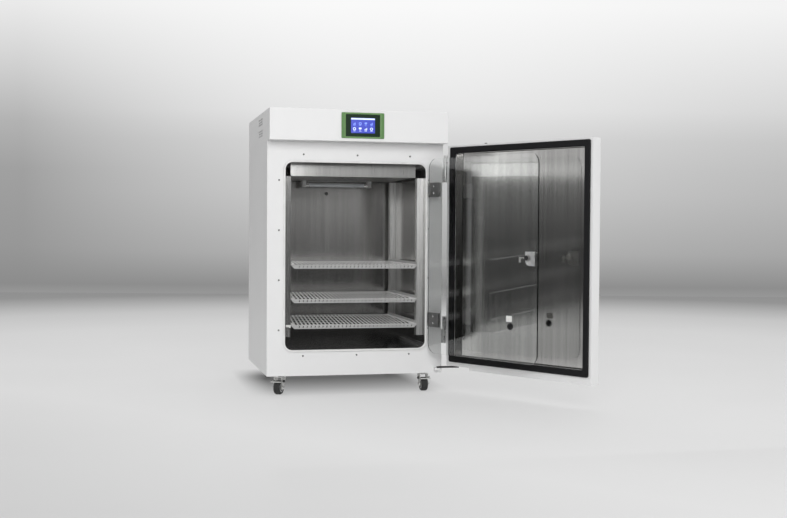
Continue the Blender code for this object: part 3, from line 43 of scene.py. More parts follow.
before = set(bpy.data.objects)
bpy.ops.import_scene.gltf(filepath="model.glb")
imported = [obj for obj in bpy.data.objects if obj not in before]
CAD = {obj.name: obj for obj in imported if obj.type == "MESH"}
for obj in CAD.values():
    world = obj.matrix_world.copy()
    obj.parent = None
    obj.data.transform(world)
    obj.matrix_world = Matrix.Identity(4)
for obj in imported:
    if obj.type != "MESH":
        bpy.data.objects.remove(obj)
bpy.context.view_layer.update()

SIDES = ("left", "right")
ENDS = ("front", "rear")
HINGES = ("lower", "upper")
LEVELS = (1, 2, 3)

# How the open doors stand, with their hinges
DOOR_HINGE = Vector((0.3215, -0.0065, 0.0))
DOOR_OPEN = radians(121.0)
GLASS_HINGE = Vector((0.2615, -0.0155, 0.0))
GLASS_OPEN = radians(117.5)

# Castors: the centres of their plates, and how far a wheel trails and how high its axle is
CASTOR_PLATES = {"front": (0.2565, 0.055), "rear": (0.242, 0.500)}
TRAIL = 0.018
AXLE_HEIGHT = 0.0245

# How far to the right the camera looks, the middle of the studio and its size
HEADING = 0.2367
STAGE_MIDDLE = (0.20, 0.0, 0.0)
ROOM = 12.0
ROOM_CORNER = 2.4
WALL_HEIGHT = 6.0


def opened(hinge, angle):
    """Takes a shut door's coordinates to where the door stands open."""
    return Matrix.Translation(hinge) @ Matrix.Rotation(angle, 4, "Z") @ Matrix.Translation(-hinge)


OUTER_DOOR = opened(DOOR_HINGE, DOOR_OPEN)
GLASS_DOOR = opened(GLASS_HINGE, GLASS_OPEN)


# Settings that a user would change

def colour_prop(name, description, default):
    return FloatVectorProperty(
        name=name, description=description, default=default, size=3, min=0.0, max=1.0, subtype="COLOR"
    )


def length_prop(name, description, default):
    return FloatProperty(name=name, description=description, default=default, unit="LENGTH", precision=4)


def power_prop(name, description, default):
    return FloatProperty(name=name, description=description, default=default, unit="POWER")


class IncubatorFinish(bpy.types.PropertyGroup):
    paint: colour_prop("Paint", "Powder coat of the cabinet and the outer door", (0.80, 0.80, 0.80))
    steel: colour_prop("Steel", "Brushed stainless steel of the chamber", (0.50, 0.495, 0.485))
    bezel: colour_prop("Bezel", "Plastic frame round the screen", (0.080, 0.21, 0.048))
    screen: colour_prop("Screen", "Lit field of the screen", (0.022, 0.036, 0.31))
    rubber: colour_prop("Rubber", "Gasket and plug", (0.012, 0.012, 0.013))
    glass: colour_prop("Glass", "Tint of the glass door", (0.985, 0.995, 0.99))


class IncubatorSizes(bpy.types.PropertyGroup):
    screw_radius: length_prop("Screw radius", "Head of a frame screw", 0.0032)
    screw_height: length_prop("Screw height", "How far a screw head stands up", 0.0018)
    icon_size: length_prop("Icon size", "Width of one icon on the screen", 0.0105)
    icon_columns: IntProperty(name="Icon columns", description="Icons in one row of the screen", default=4)
    slot_pitch: length_prop("Slot pitch", "From one shelf slot to the next", 0.0139)
    slot_width: length_prop("Slot width", "Width of one shelf slot", 0.0078)
    slot_rows: IntProperty(name="Slot rows", description="Rows of slots from front to back", default=5)
    slot_slant: FloatProperty(name="Slot slant", description="How much a slot leans right", default=0.102)


class IncubatorStage(bpy.types.PropertyGroup):
    key_power: power_prop("Key power", "Large front lamp", 100.0)
    fill_power: power_prop("Fill power", "Lamp at the left", 10.0)
    right_power: power_prop("Right power", "Lamp at the right", 12.0)
    top_power: power_prop("Top power", "Lamp over the cabinet", 22.0)
    sky: FloatProperty(name="Sky", description="Strength of the even light", default=0.45)
    floor: colour_prop("Floor", "Pale floor of the studio", (0.78, 0.78, 0.78))


# Nodes of a material

def node(tree, kind, inputs, **values):
    """Adds a node with its own values, then links or sets its inputs, each a socket or a value."""
    made = tree.nodes.new("ShaderNode" + kind)
    for key, value in values.items():
        setattr(made, key, value)
    for key, source in inputs.items():
        if isinstance(source, bpy.types.NodeSocket):
            tree.links.new(source, made.inputs[key])
        else:
            made.inputs[key].default_value = source
    return made


def grey(level):
    return (level, level, level)


def object_space(tree, scale=(1.0, 1.0, 1.0)):
    """Object coordinates, stretched along the axes by scale."""
    place = node(tree, "TexCoord", {}).outputs["Object"]
    return node(tree, "Mapping", {"Vector": place, "Scale": scale}).outputs["Vector"]


def noise(tree, vector, scale, detail=3.0, roughness=0.5):
    inputs = {"Vector": vector, "Scale": scale, "Detail": detail, "Roughness": roughness}
    return node(tree, "TexNoise", inputs).outputs["Fac"]


def ramp(tree, factor, stops):
    """Takes a factor through stops, each a position and a colour."""
    made = node(tree, "ValToRGB", {"Fac": factor})
    elements = made.color_ramp.elements
    while len(elements) < len(stops):
        elements.new(0.5)
    for element, (position, colour) in zip(elements, stops):
        element.position = position
        element.color = (*colour, 1.0)
    return made.outputs["Color"]


def grey_ramp(tree, factor, stops):
    return ramp(tree, factor, [(position, grey(level)) for position, level in stops])


def ranged(tree, value, start, end, low=0.0, high=1.0):
    """Takes a value from start and end to low and high, and stops there."""
    inputs = {"Value": value, "From Min": start, "From Max": end, "To Min": low, "To Max": high}
    return node(tree, "MapRange", inputs).outputs["Result"]


def calculated(tree, operation, *values):
    return node(tree, "Math", dict(enumerate(values)), operation=operation).outputs["Value"]


def mixed(tree, factor, first, second, blend="MIX"):
    inputs = {"Factor": factor, "A": first, "B": second}
    return node(tree, "Mix", inputs, data_type="RGBA", blend_type=blend).outputs["Result"]


def multiplied(tree, first, second, factor=1.0):
    return mixed(tree, factor, first, second, "MULTIPLY")


# Finishes

def shader_material(name, colour, roughness, metallic=0.0):
    """A material of one colour, with its nodes and the shader that the finishes build on."""
    material = bpy.data.materials.new(name)
    material.use_nodes = True
    material.diffuse_color = (*colour, 1.0)
    shader = material.node_tree.nodes["Principled BSDF"]
    shader.inputs["Base Color"].default_value = (*colour, 1.0)
    shader.inputs["Roughness"].default_value = roughness
    shader.inputs["Metallic"].default_value = metallic
    return material, material.node_tree, shader


def mottled(tree, shader, colour, factor, amount):
    """Lets the base colour wander by amount, lighter and darker, with factor."""
    darker = [c * (1 - amount) for c in colour]
    lighter = [min(1.0, c * (1 + amount)) for c in colour]
    tree.links.new(ramp(tree, factor, ((0.3, darker), (0.7, lighter))), shader.inputs["Base Color"])


def bumped(tree, shader, height, strength, distance):
    bump = node(tree, "Bump", {"Strength": strength, "Distance": distance, "Height": height})
    tree.links.new(bump.outputs["Normal"], shader.inputs["Normal"])


def rough_range(tree, shader, factor, low, high):
    tree.links.new(ranged(tree, factor, 0.3, 0.7, low, high), shader.inputs["Roughness"])


def clouded(made, colour, roughness, patches, amount, spread, skin):
    """Adds faint patches in colour and shine, down and up by spread, and a skin of fine grain."""
    material, tree, shader = made
    space = object_space(tree)
    cloud = noise(tree, space, *patches)
    mottled(tree, shader, colour, cloud, amount)
    rough_range(tree, shader, cloud, roughness - spread[0], roughness + spread[1])
    grain, strength, depth = skin
    bumped(tree, shader, noise(tree, space, grain, 2.0), strength, depth)
    return material


def powder_coat(name, colour, roughness=0.42):
    """Baked powder paint, with the fine orange peel that it dries with."""
    made = shader_material(name, colour, roughness)
    return clouded(made, colour, roughness, (6.0, 2.0), 0.012, (0.03, 0.04), (900.0, 0.25, 0.00012))


def brushed_steel(name, colour, grain, low, high, depth=0.00006, metallic=1.0):
    """Stainless sheet with fine lines, drawn out along the axes where grain is small."""
    material, tree, shader = shader_material(name, colour, low, metallic)
    lines = noise(tree, object_space(tree, grain), 6.0, 4.0, 0.6)
    broad = noise(tree, object_space(tree, [g / 12.0 for g in grain]), 5.0)
    mottled(tree, shader, colour, broad, 0.09)
    rough_range(tree, shader, lines, low, high)
    bumped(tree, shader, lines, 0.10, depth)
    return material


def plated_steel(name, colour, roughness=0.30):
    """Zinc or nickel plate, slightly cloudy."""
    made = shader_material(name, colour, roughness, 1.0)
    return clouded(made, colour, roughness, (90.0,), 0.07, (0.06, 0.10), (1400.0, 0.10, 0.00005))


def moulded(name, colour, roughness, grain=1100.0, depth=0.00008, shine=0.5):
    """Moulded plastic or rubber with a fine grained skin."""
    made = shader_material(name, colour, roughness)
    made[2].inputs["Specular IOR Level"].default_value = shine
    return clouded(made, colour, roughness, (30.0,), 0.06, (0.05, 0.06), (grain, 0.25, depth))


def clear_glass(name, colour):
    """Float glass, with a trace of green and the faint haze of a wiped pane."""
    material, tree, shader = shader_material(name, colour, 0.0)
    shader.inputs["Transmission Weight"].default_value = 1.0
    shader.inputs["IOR"].default_value = 1.5
    rough_range(tree, shader, noise(tree, object_space(tree), 7.0), 0.0, 0.012)
    return material


def lit(name, colour, strength):
    """A lit area of the screen, with the faint raster of its pixels."""
    material, tree, shader = shader_material(name, colour, 0.25)
    shader.inputs["Emission Strength"].default_value = strength
    shader.inputs["Emission Color"].default_value = (*colour, 1.0)
    mottled(tree, shader, colour, noise(tree, object_space(tree), 2600.0, 0.0), 0.05)
    return material


def foam_core(name, colour):
    material, tree, shader = shader_material(name, colour, 0.9)
    space = object_space(tree)
    cells = node(tree, "TexVoronoi", {"Vector": space, "Scale": 420.0})
    mottled(tree, shader, colour, noise(tree, space, 12.0), 0.08)
    bumped(tree, shader, cells.outputs["Distance"], 0.5, 0.0006)
    return material


def shade_along(material, source, axis, low, high, least, lift=0.0):
    """Paints shade into a finish: scales its colour from least to one as its place or normal goes from low to
    high along an axis.

    Lift makes the finish glow by that much. This is painted light standing in for the light of many bounces
    between the shelves, which a fast render leaves out.
    """
    tree = material.node_tree
    shader = tree.nodes["Principled BSDF"]
    colour = shader.inputs["Base Color"].links[0].from_socket
    place = node(tree, "NewGeometry", {}).outputs[source]
    along = node(tree, "SeparateXYZ", {"Vector": place}).outputs[axis]
    rise = ranged(tree, along, low, high, least)
    dimmed = node(tree, "VectorMath", {0: colour, "Scale": rise}, operation="SCALE")
    tree.links.new(dimmed.outputs["Vector"], shader.inputs["Base Color"])
    if lift:
        tree.links.new(colour, shader.inputs["Emission Color"])
        tree.links.new(calculated(tree, "MULTIPLY", rise, lift), shader.inputs["Emission Strength"])


# Each finish has its maker, its name, its colour or the user's setting for it, and what its maker takes
FINISHES = {
    "paint": (powder_coat, "white_powder_coat", "paint"),
    "black_paint": (powder_coat, "black_enamel", grey(0.012), 0.35),
    # The chamber's steel has painted shade: SHADED makes it darker towards the chamber floor.
    "steel_wall": (
        brushed_steel, "stainless_chamber_wall", "steel", (150.0, 150.0, 1.2), 0.12, 0.20, 0.00002, 0.93
    ),
    "steel_door": (brushed_steel, "stainless_door_panel", "steel", (170.0, 170.0, 0.8), 0.07, 0.13, 0.00002),
    # The right uprights are a lighter, less metallic copy of the chamber's steel, which is painted light.
    # SHADED adds painted shade lower down.
    "steel_right": (
        brushed_steel, "stainless_right_upright", (0.80, 0.80, 0.79),
        (260.0, 260.0, 2.0), 0.24, 0.36, 0.00006, 0.55
    ),
    # The left uprights are a darker copy of the chamber's steel, which is painted shade.
    "steel_left": (
        brushed_steel, "stainless_left_upright", (0.34, 0.34, 0.335), (260.0, 260.0, 2.0), 0.20, 0.30
    ),
    "steel_fan": (
        brushed_steel, "stainless_brushed_across", (0.60, 0.60, 0.58), (2.0, 200.0, 260.0), 0.15, 0.24
    ),
    # The shelves and runners use a lighter, mostly diffuse copy of the chamber's steel, which is painted
    # light. Through SHADED, their upright faces get painted shade, and they glow a little, which is also
    # painted light.
    "steel_shelf": (
        brushed_steel, "stainless_shelf", (0.90, 0.90, 0.89), (2.0, 240.0, 240.0), 0.32, 0.44, 0.00006, 0.25
    ),
    # The air cover gets a painted highlight: SHADED keeps its left end light and darkens the rest.
    "steel_cover": (
        brushed_steel, "stainless_air_cover", (0.56, 0.56, 0.55), (160.0, 160.0, 2.0), 0.26, 0.38, 0.00003
    ),
    "latch_plate": (plated_steel, "latch_plate_steel", grey(0.86), 0.34),
    "zinc": (plated_steel, "zinc_plate", grey(0.58)),
    "dark_zinc": (plated_steel, "dark_screw_steel", grey(0.20), 0.34),
    "clamp": (plated_steel, "clamp_steel", grey(0.42), 0.34),
    "bright_zinc": (plated_steel, "bright_zinc", (0.82, 0.82, 0.80)),
    "chrome": (plated_steel, "chrome_plate", grey(0.72), 0.12),
    "brass": (plated_steel, "nickel_plated_brass", (0.60, 0.55, 0.44), 0.28),
    "lamp_body": (plated_steel, "lamp_reflector", (0.85, 0.85, 0.84), 0.36),
    "rubber": (moulded, "black_rubber", "rubber", 0.80, 1100.0, 0.00008, 0.18),
    "tyre": (moulded, "black_tyre", grey(0.018), 0.55),
    "hub": (moulded, "grey_hub", grey(0.35), 0.4),
    "silicone": (moulded, "white_silicone", (0.78, 0.78, 0.77), 0.42, 600.0),
    "green": (moulded, "green_bezel", "bezel", 0.33),
    # A lighter copy of the bezel's green for its chamfer, which is a painted highlight.
    "bezel_edge": (moulded, "green_bezel_edge", (0.13, 0.27, 0.085), 0.4),
    "black_plastic": (moulded, "black_plastic", grey(0.015), 0.38),
    "white_plastic": (moulded, "white_plastic", (0.75, 0.75, 0.73), 0.4),
    "screen_border": (moulded, "screen_border", (0.002, 0.020, 0.005), 0.35, 300.0, 0.00001, 0.18),
    "filter": (moulded, "louvre_filter", grey(0.55), 0.8, 700.0, 0.0004),
    "lamp": (moulded, "lamp_tube", (0.74, 0.77, 0.80), 0.12, 200.0, 0.00001),
    "screen_blue": (lit, "screen_field", "screen", 1.0),
    "screen_white": (lit, "screen_pale", (0.50, 0.58, 0.78), 0.9),
    "screen_mid": (lit, "screen_icon", (0.16, 0.24, 0.72), 0.9),
    "glass": (clear_glass, "door_glass", "glass"),
    "foam": (foam_core, "rigid_foam", (0.72, 0.66, 0.45)),
}

# Finishes with painted shade, darker along an axis, as shade_along takes them. The air cover's lighter left
# end is a painted highlight, and the shelves' lift is a painted glow.
SHADED = {
    "steel_wall": ("Position", "Z", 0.16, 0.44, 0.46),
    "steel_right": ("Position", "Z", 0.16, 0.62, 0.45),
    "steel_shelf": ("Normal", "Z", 0.2, 0.8, 0.42, 0.11),
    "steel_cover": ("Position", "X", -0.12, -0.215, 0.56),
}
MATERIALS = {}


def finish_of(key):
    """One material of each kind, made when a piece first asks for it."""
    if key not in MATERIALS:
        maker, name, colour, *rest = FINISHES[key]
        if isinstance(colour, str):
            colour = getattr(bpy.context.scene.incubator_finish, colour)
        MATERIALS[key] = maker(name, colour, *rest)
        if key in SHADED:
            shade_along(MATERIALS[key], *SHADED[key])
    return MATERIALS[key]


# Mesh helpers

def smooth(mesh, sharp):
    """Smooths a mesh, but for the edges that turn by more than sharp degrees."""
    mesh.shade_smooth()
    mesh.set_sharp_from_angle(angle=radians(sharp))


def dress(key, *names):
    """Gives CAD nodes their finish."""
    for name in names:
        mesh = CAD[name].data
        mesh.materials.clear()
        mesh.materials.append(finish_of(key))
        smooth(mesh, 32.0)


def object_from(bm, name, material, sharp=None):
    """Turns built faces into an object. Where no sharp angle is given it stays flat shaded."""
    if sharp is not None:
        bmesh.ops.recalc_face_normals(bm, faces=bm.faces)
    mesh = bpy.data.meshes.new(name)
    bm.to_mesh(mesh)
    bm.free()
    mesh.materials.append(material)
    if sharp is not None:
        smooth(mesh, sharp)
    obj = bpy.data.objects.new(name, mesh)
    bpy.context.scene.collection.objects.link(obj)
    return obj


def piece_from(bm, name, key, body="root", place=None, sharp=35.0):
    obj = object_from(bm, name, finish_of(key), sharp)
    if place is not None:
        obj.matrix_world = place
    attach(obj, body)


def sheet_piece(bm, name, key, body, thickness):
    """Makes a piece of folded sheet from its outer surface."""
    obj = object_from(bm, name, finish_of(key))
    solid = obj.modifiers.new("sheet", "SOLIDIFY")
    solid.thickness = thickness
    solid.offset = -1.0
    solid.use_even_offset = True
    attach(obj, body)
    return obj


def add_box(bm, low, high, rounding, segments=2):
    """Adds a box, with all its edges rounded."""
    low, high = Vector(low), Vector(high)
    verts = bmesh.ops.create_cube(bm, size=1.0)["verts"]
    bmesh.ops.scale(bm, vec=high - low, verts=verts)
    bmesh.ops.translate(bm, vec=(low + high) / 2, verts=verts)
    edges = list({e for v in verts for e in v.link_edges})
    bmesh.ops.bevel(bm, geom=edges, offset=rounding, segments=segments, profile=0.5, affect="EDGES")


def circle(count):
    """The cosine and sine of each of count even steps round a circle."""
    turns = (2 * pi * k / count for k in range(count))
    return [(cos(a), sin(a)) for a in turns]


def turned_to(axis):
    """The turn that takes upright to an axis."""
    return Vector((0.0, 0.0, 1.0)).rotation_difference(Vector(axis)).to_matrix()


def add_lathe(bm, profile, at, axis, steps):
    """Adds a closed turned shape. The profile lists radius and height along the axis."""
    place = Matrix.Translation(Vector(at)) @ turned_to(axis).to_4x4()
    rings = []
    for radius, height in profile:
        ring = circle(steps) if radius else [(0.0, 0.0)]
        rings.append([bm.verts.new(place @ Vector((radius * c, radius * s, height))) for c, s in ring])
    for first, second in zip(rings, rings[1:]):
        for k in range(steps):
            after = k + 1
            around = (
                first[k % len(first)], first[after % len(first)],
                second[after % len(second)], second[k % len(second)],
            )
            corners = list(dict.fromkeys(around))
            if len(corners) > 2:
                bm.faces.new(corners)


def add_pan_head(bm, at, axis, radius, height):
    """A pan head with a cross recess, as a lathe whose crown is pushed in along a cross."""
    crown = ((0.96, 0), (1, 0.25), (0.93, 0.62), (0.72, 0.9), (0.46, 1), (0.4, 0.98), (0.16, 0.94), (0, 0.94))
    recess_radius, recess_width, recess_depth = radius * 0.5, 0.55, height * 0.45
    axis = Vector(axis).normalized()
    start = len(bm.verts)
    add_lathe(bm, [(radius * r, height * h) for r, h in crown], at, axis, 24)
    bm.verts.ensure_lookup_table()
    inverse = turned_to(axis).inverted()
    for vert in bm.verts[start:]:
        local = inverse @ (vert.co - Vector(at))
        arm = abs(sin(2 * atan2(local.y, local.x)))
        if hypot(local.x, local.y) < recess_radius and arm < recess_width:
            vert.co -= axis * recess_depth


def make_screws(name, key, places, size=None, body="root", place=None):
    """Screw heads as one piece. Each place is a point and the way that the head faces."""
    sizes = bpy.context.scene.incubator_sizes
    radius, height = size or (sizes.screw_radius, sizes.screw_height)
    bm = bmesh.new()
    for at, axis in places:
        add_pan_head(bm, at, axis, radius, height)
    piece_from(bm, name, key, body, place)


def add_outline(bm, outline, near, far, facing="Y"):
    """Adds a plate with a flat outline, between two places along the facing axis."""
    def ring(w):
        return [bm.verts.new((u, w, v) if facing == "Y" else (u, v, w)) for u, v in outline]

    front, back = ring(near), ring(far)
    bm.faces.new(front)
    bm.faces.new(list(reversed(back)))
    count = len(outline)
    for k in range(count):
        bm.faces.new((front[k], back[k], back[(k + 1) % count], front[(k + 1) % count]))


def corner_walk(width, height, radius, at, steps):
    """Walks round a rectangle with round corners, and gives each arc's centre with an angle."""
    for quarter, (sx, sy) in enumerate(((1, 1), (-1, 1), (-1, -1), (1, -1))):
        centre = at[0] + sx * (width / 2 - radius), at[1] + sy * (height / 2 - radius)
        for step in range(steps + 1):
            yield centre, radians(90.0 * (quarter + step / steps))


def rounded(width, height, radius, at, steps):
    walk = corner_walk(width, height, radius, at, steps)
    return [(x + radius * cos(a), y + radius * sin(a)) for (x, y), a in walk]


def sweep_frame(bm, section, width, height, radius, at, steps):
    """Sweeps a section, whose points lie so far out and at such a Y, round a rounded rectangle."""
    rings = []
    for (x, z), a in corner_walk(width, height, radius, at, steps):
        reach = [(radius + out, along) for out, along in section]
        rings.append([bm.verts.new((x + r * cos(a), y, z + r * sin(a))) for r, y in reach])
    count = len(section)
    for first, second in zip(rings, rings[1:] + rings[:1]):
        for k in range(count):
            bm.faces.new((first[k], first[(k + 1) % count], second[(k + 1) % count], second[k]))


# Cabinet

def make_frame_screws():
    """The screws round the opening: over and under it, and down each side."""
    places = [(x, z) for x in (-0.187, 0.003, 0.192) for z in (0.8355, 0.1375)]
    places += [(-0.272, z) for z in (0.2276, 0.4006, 0.573, 0.7455)]
    places += [(0.2625, z) for z in (0.228, 0.4065, 0.581, 0.753)]
    make_screws("frame_screws", "dark_zinc", [((x, 0.0, z), (0, -1, 0)) for x, z in places])


def make_rear_screws():
    places = []
    for name, rows in (("rear_panel", 3), ("head_rear_cover", 2)):
        low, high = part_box(name)
        from_edge = 0.012
        bottom, top = low.z + from_edge, high.z - from_edge
        heights = (bottom, (low.z + high.z) / 2, top) if rows == 3 else (bottom, top)
        for x in (low.x + from_edge, 0.0, high.x - from_edge):
            places += [((x, high.y, z), (0, 1, 0)) for z in heights]
    make_screws("rear_screws", "zinc", places)


def make_top_catch():
    """The small black catch that stands on the door's top edge."""
    _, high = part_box("outer_door")
    bm = bmesh.new()
    add_box(bm, (0.1345, -0.0145, high.z - 0.0002), (0.1425, -0.0085, high.z + 0.0028), 0.0008)
    piece_from(bm, "door_top_catch", "black_plastic", "outer_door", OUTER_DOOR)


class INCUBATOR_OT_cabinet(bpy.types.Operator):
    """Finish the cabinet's panels, its frame and the screws that hold them"""

    bl_idname = "incubator.cabinet"
    bl_label = "Cabinet"

    def execute(self, context):
        dress("paint", "outer_casing", "front_frame", "rear_panel", "head_casing", "head_rear_cover")
        dress("zinc", "base_pan")
        dress("foam", "insulation")
        dress("silicone", "inner_door_seal")
        make_frame_screws()
        make_rear_screws()
        return {"FINISHED"}


# Control head

def add_icon(bm, x, z, size, number, skin):
    """A plain sign, as bars, a ring or a plate on a foot, with a short bar under it."""
    half = size / 2

    def plate(width, height, radius, at, steps):
        add_outline(bm, rounded(width, height, radius, at, steps), *skin)

    if number % 3 == 0:
        for k in range(3):
            bar = size * (0.45 + 0.2 * k)
            plate(half * 0.4, bar, 0.0004, (x - half * 0.6 + half * 0.6 * k, z - half + bar / 2), 1)
    elif number % 3 == 1:
        outer, inner = ([(x + r * c, z + r * s) for c, s in circle(16)] for r in (half, half * 0.55))
        for k in range(16):
            after = (k + 1) % 16
            add_outline(bm, [outer[k], outer[after], inner[after], inner[k]], *skin)
    else:
        plate(size * 0.9, size * 0.55, 0.001, (x, z + half * 0.3), 2)
        plate(size * 0.5, size * 0.14, 0.0004, (x, z - half * 0.7), 1)
    plate(size * 0.8, size * 0.10, 0.0003, (x, z - half * 1.45), 1)


def make_screen():
    """The lit field, with a pale bar and two rows of signs laid on it."""
    sizes = bpy.context.scene.incubator_sizes
    low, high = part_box("display_module")
    bezel_low, bezel_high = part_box("screen_bezel")
    centre = ((low.x + high.x) / 2, (bezel_low.z + bezel_high.z) / 2)
    front = bezel_low.y + 0.0012
    width, height = 0.084, 0.052
    top = centre[1] + height / 2
    field, pale, mid = bmesh.new(), bmesh.new(), bmesh.new()
    add_outline(field, rounded(width, height, 0.0006, centre, 2), front - 0.0001, front - 0.00035)
    skin = (front - 0.00035, front - 0.00055)
    add_outline(pale, rounded(width - 0.001, 0.0052, 0.0005, (centre[0], top - 0.0034), 2), *skin)
    columns = sizes.icon_columns
    for row, (drop, target, share) in enumerate(((0.0195, mid, 0.92), (0.0375, pale, 1.0))):
        for column in range(columns):
            x = centre[0] + (column - (columns - 1) / 2) * width / (columns + 0.2)
            add_icon(target, x, top - drop, sizes.icon_size * share, row * columns + column, skin)
    piece_from(field, "screen_field", "screen_blue")
    piece_from(pale, "screen_bar_and_signs", "screen_white")
    piece_from(mid, "screen_signs", "screen_mid")


def make_bezel_bevel():
    """The chamfer round the bezel's inner edge, in a lighter copy of the bezel's green, which is a painted
    highlight.
    """
    low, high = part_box("screen_bezel")
    centre = ((low.x + high.x) / 2, (low.z + high.z) / 2)
    y = low.y
    section = [(0.0, y + 0.0002), (0.0034, y - 0.0003), (0.0044, y - 0.0003), (0.0046, y + 0.0004)]
    bm = bmesh.new()
    sweep_frame(bm, section, 0.1208, 0.0768, 0.002, centre, 4)
    piece_from(bm, "screen_bezel_edge", "bezel_edge", sharp=25.0)


def make_louvre_filters():
    """The pale mesh that stands behind the louvres of the head's two sides."""
    low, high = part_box("head_casing")
    front, back, half, margin = 0.128, 0.252, 0.0006, 0.006
    bm = bmesh.new()
    for side in (-1, 1):
        x = side * (high.x - 0.0030)
        add_box(bm, (x - half, front, low.z + margin), (x + half, back, high.z - margin), 0.0003, 1)
    piece_from(bm, "louvre_filters", "filter")


class INCUBATOR_OT_head(bpy.types.Operator):
    """Finish the control head, with its lit screen and the parts inside it"""

    bl_idname = "incubator.head"
    bl_label = "Control head"

    def execute(self, context):
        dress("green", "screen_bezel")
        dress("screen_border", "display_module")
        dress("black_plastic", "power_inlet", "power_switch")
        dress("brass", "gas_valve")
        dress("zinc", "power_supply", "fan_motor")
        make_bezel_bevel()
        make_screen()
        make_louvre_filters()
        return {"FINISHED"}


# Chamber

def make_lamp_tube():
    """The white tube between the lamp's holders, and the metal caps at its ends."""
    low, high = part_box("ultraviolet_lamp")
    y, z = (low.y + high.y) / 2, low.z + 0.0085
    holder, radius, cap, steps = 0.0150, 0.0067, 0.012, 24
    start, end = low.x + holder, high.x - holder
    tube, caps = bmesh.new(), bmesh.new()
    profile = [(0.0, 0.0), (radius, 0.0), (radius, end - start), (0.0, end - start)]
    add_lathe(tube, profile, (start, y, z), (1, 0, 0), steps)
    piece_from(tube, "lamp_tube", "lamp")
    rim = radius + 0.0006
    profile = [(0.0, 0.0), (rim, 0.0), (rim, cap), (rim - 0.0004, cap + 0.001), (0.0, cap + 0.001)]
    for x, way in ((start, 1), (end, -1)):
        add_lathe(caps, profile, (x, y, z), (way, 0, 0), steps)
    piece_from(caps, "lamp_caps", "chrome")


def stitch(bm, first, second):
    """Joins two lines of corners, each a list of places across and vertices, with triangles."""
    i = j = 0
    while i < len(first) - 1 or j < len(second) - 1:
        use_first = j == len(second) - 1
        if not use_first and i < len(first) - 1:
            use_first = first[i + 1][0] <= second[j + 1][0]
        if use_first:
            bm.faces.new((first[i][1], first[i + 1][1], second[j][1]))
            i += 1
        else:
            bm.faces.new((first[i][1], second[j + 1][1], second[j][1]))
            j += 1


def add_slotted_strip(bm, point, half, rows, first_line, sizes):
    """Adds sheet along rows of slots, and returns its last line of corners.

    Point turns across and along into a place, half gives half the width at a place along, and a
    row is where its slots start and end. The plain sheet between rows is stitched.
    """
    def line(along, slots):
        edge = half(along)
        return [(x, bm.verts.new(point(x, along))) for x in (-edge, *slots, edge)]

    pitch, width, slant, margin = sizes
    last = first_line
    for start, end in rows:
        lean = slant * (end - start) / 2
        shift = (slant * (start + end) / 2) % pitch
        reach = min(half(start), half(end)) - margin - width / 2 - abs(lean)
        count = int((2 * reach) // pitch) + 2
        middles = [(k - count // 2) * pitch + shift for k in range(count + 1)]
        middles = [m for m in middles if abs(m) <= reach]
        near = line(start, [m - lean + s for m in middles for s in (-width / 2, width / 2)])
        far = line(end, [m + lean + s for m in middles for s in (-width / 2, width / 2)])
        stitch(bm, last, near)
        for k in range(0, len(near) - 1, 2):
            bm.faces.new((near[k][1], near[k + 1][1], far[k + 1][1], far[k][1]))
        last = far
    return last


def make_shelf(level):
    """One shelf as folded sheet: rows of slots, a slotted lip in front and a plain one at the back."""
    sizes = bpy.context.scene.incubator_sizes
    low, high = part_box(f"shelf_{level}")
    wide, drop = high.x, high.z - low.z
    border, bridge, rows, inset = 0.0085, 0.0080, sizes.slot_rows, 0.0175
    length = (high.y - low.y - 2 * border - (rows - 1) * bridge) / rows
    starts = [low.y + border + k * (length + bridge) for k in range(rows)]
    bm = bmesh.new()

    def corners(y, z, *across):
        return [(x, bm.verts.new((x, y, z))) for x in across]

    def lip_half(along):
        return wide - max(0.0, along - 0.004)

    front = corners(low.y, high.z, -wide, wide)
    flat = add_slotted_strip(
        bm, lambda x, y: (x, y, high.z), lambda y: wide, [(s, s + length) for s in starts], front,
        (sizes.slot_pitch, sizes.slot_width, sizes.slot_slant, 0.006),
    )
    back = corners(high.y, high.z, -wide, inset - wide, wide - inset, wide)
    stitch(bm, flat, back)
    lip = add_slotted_strip(
        bm, lambda x, along: (x, low.y, high.z - along), lip_half, [(0.0040, 0.0100)], front,
        (sizes.slot_pitch, sizes.slot_width * 0.38, -0.3, 0.008),
    )
    stitch(bm, lip, corners(low.y, low.z, -lip_half(drop), lip_half(drop)))
    stitch(bm, back[1:3], corners(high.y, high.z - drop * 0.7, inset - wide, wide - inset))
    bmesh.ops.recalc_face_normals(bm, faces=bm.faces)
    bm.normal_update()
    top = max(bm.faces, key=lambda face: face.calc_area() * abs(face.normal.z))
    if top.normal.z < 0:
        bmesh.ops.reverse_faces(bm, faces=bm.faces)
    shelf = sheet_piece(bm, f"shelf_sheet_{level}", "steel_shelf", f"shelf_{level}", 0.0009)
    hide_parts(f"shelf_{level}")


def make_runner_stop():
    """The white stop on the front end of the lowest left runner."""
    low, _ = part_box("shelf_runner_3_left")
    face, y, z = low.x + 0.008, low.y, low.z
    bm = bmesh.new()
    add_box(bm, (face - 0.0165, y + 0.0005, z - 0.0010), (face, y + 0.0065, z + 0.0070), 0.0008)
    add_box(bm, (face - 0.0060, y + 0.0010, z - 0.0030), (face, y + 0.0060, z), 0.0006)
    piece_from(bm, "runner_stop", "white_plastic")


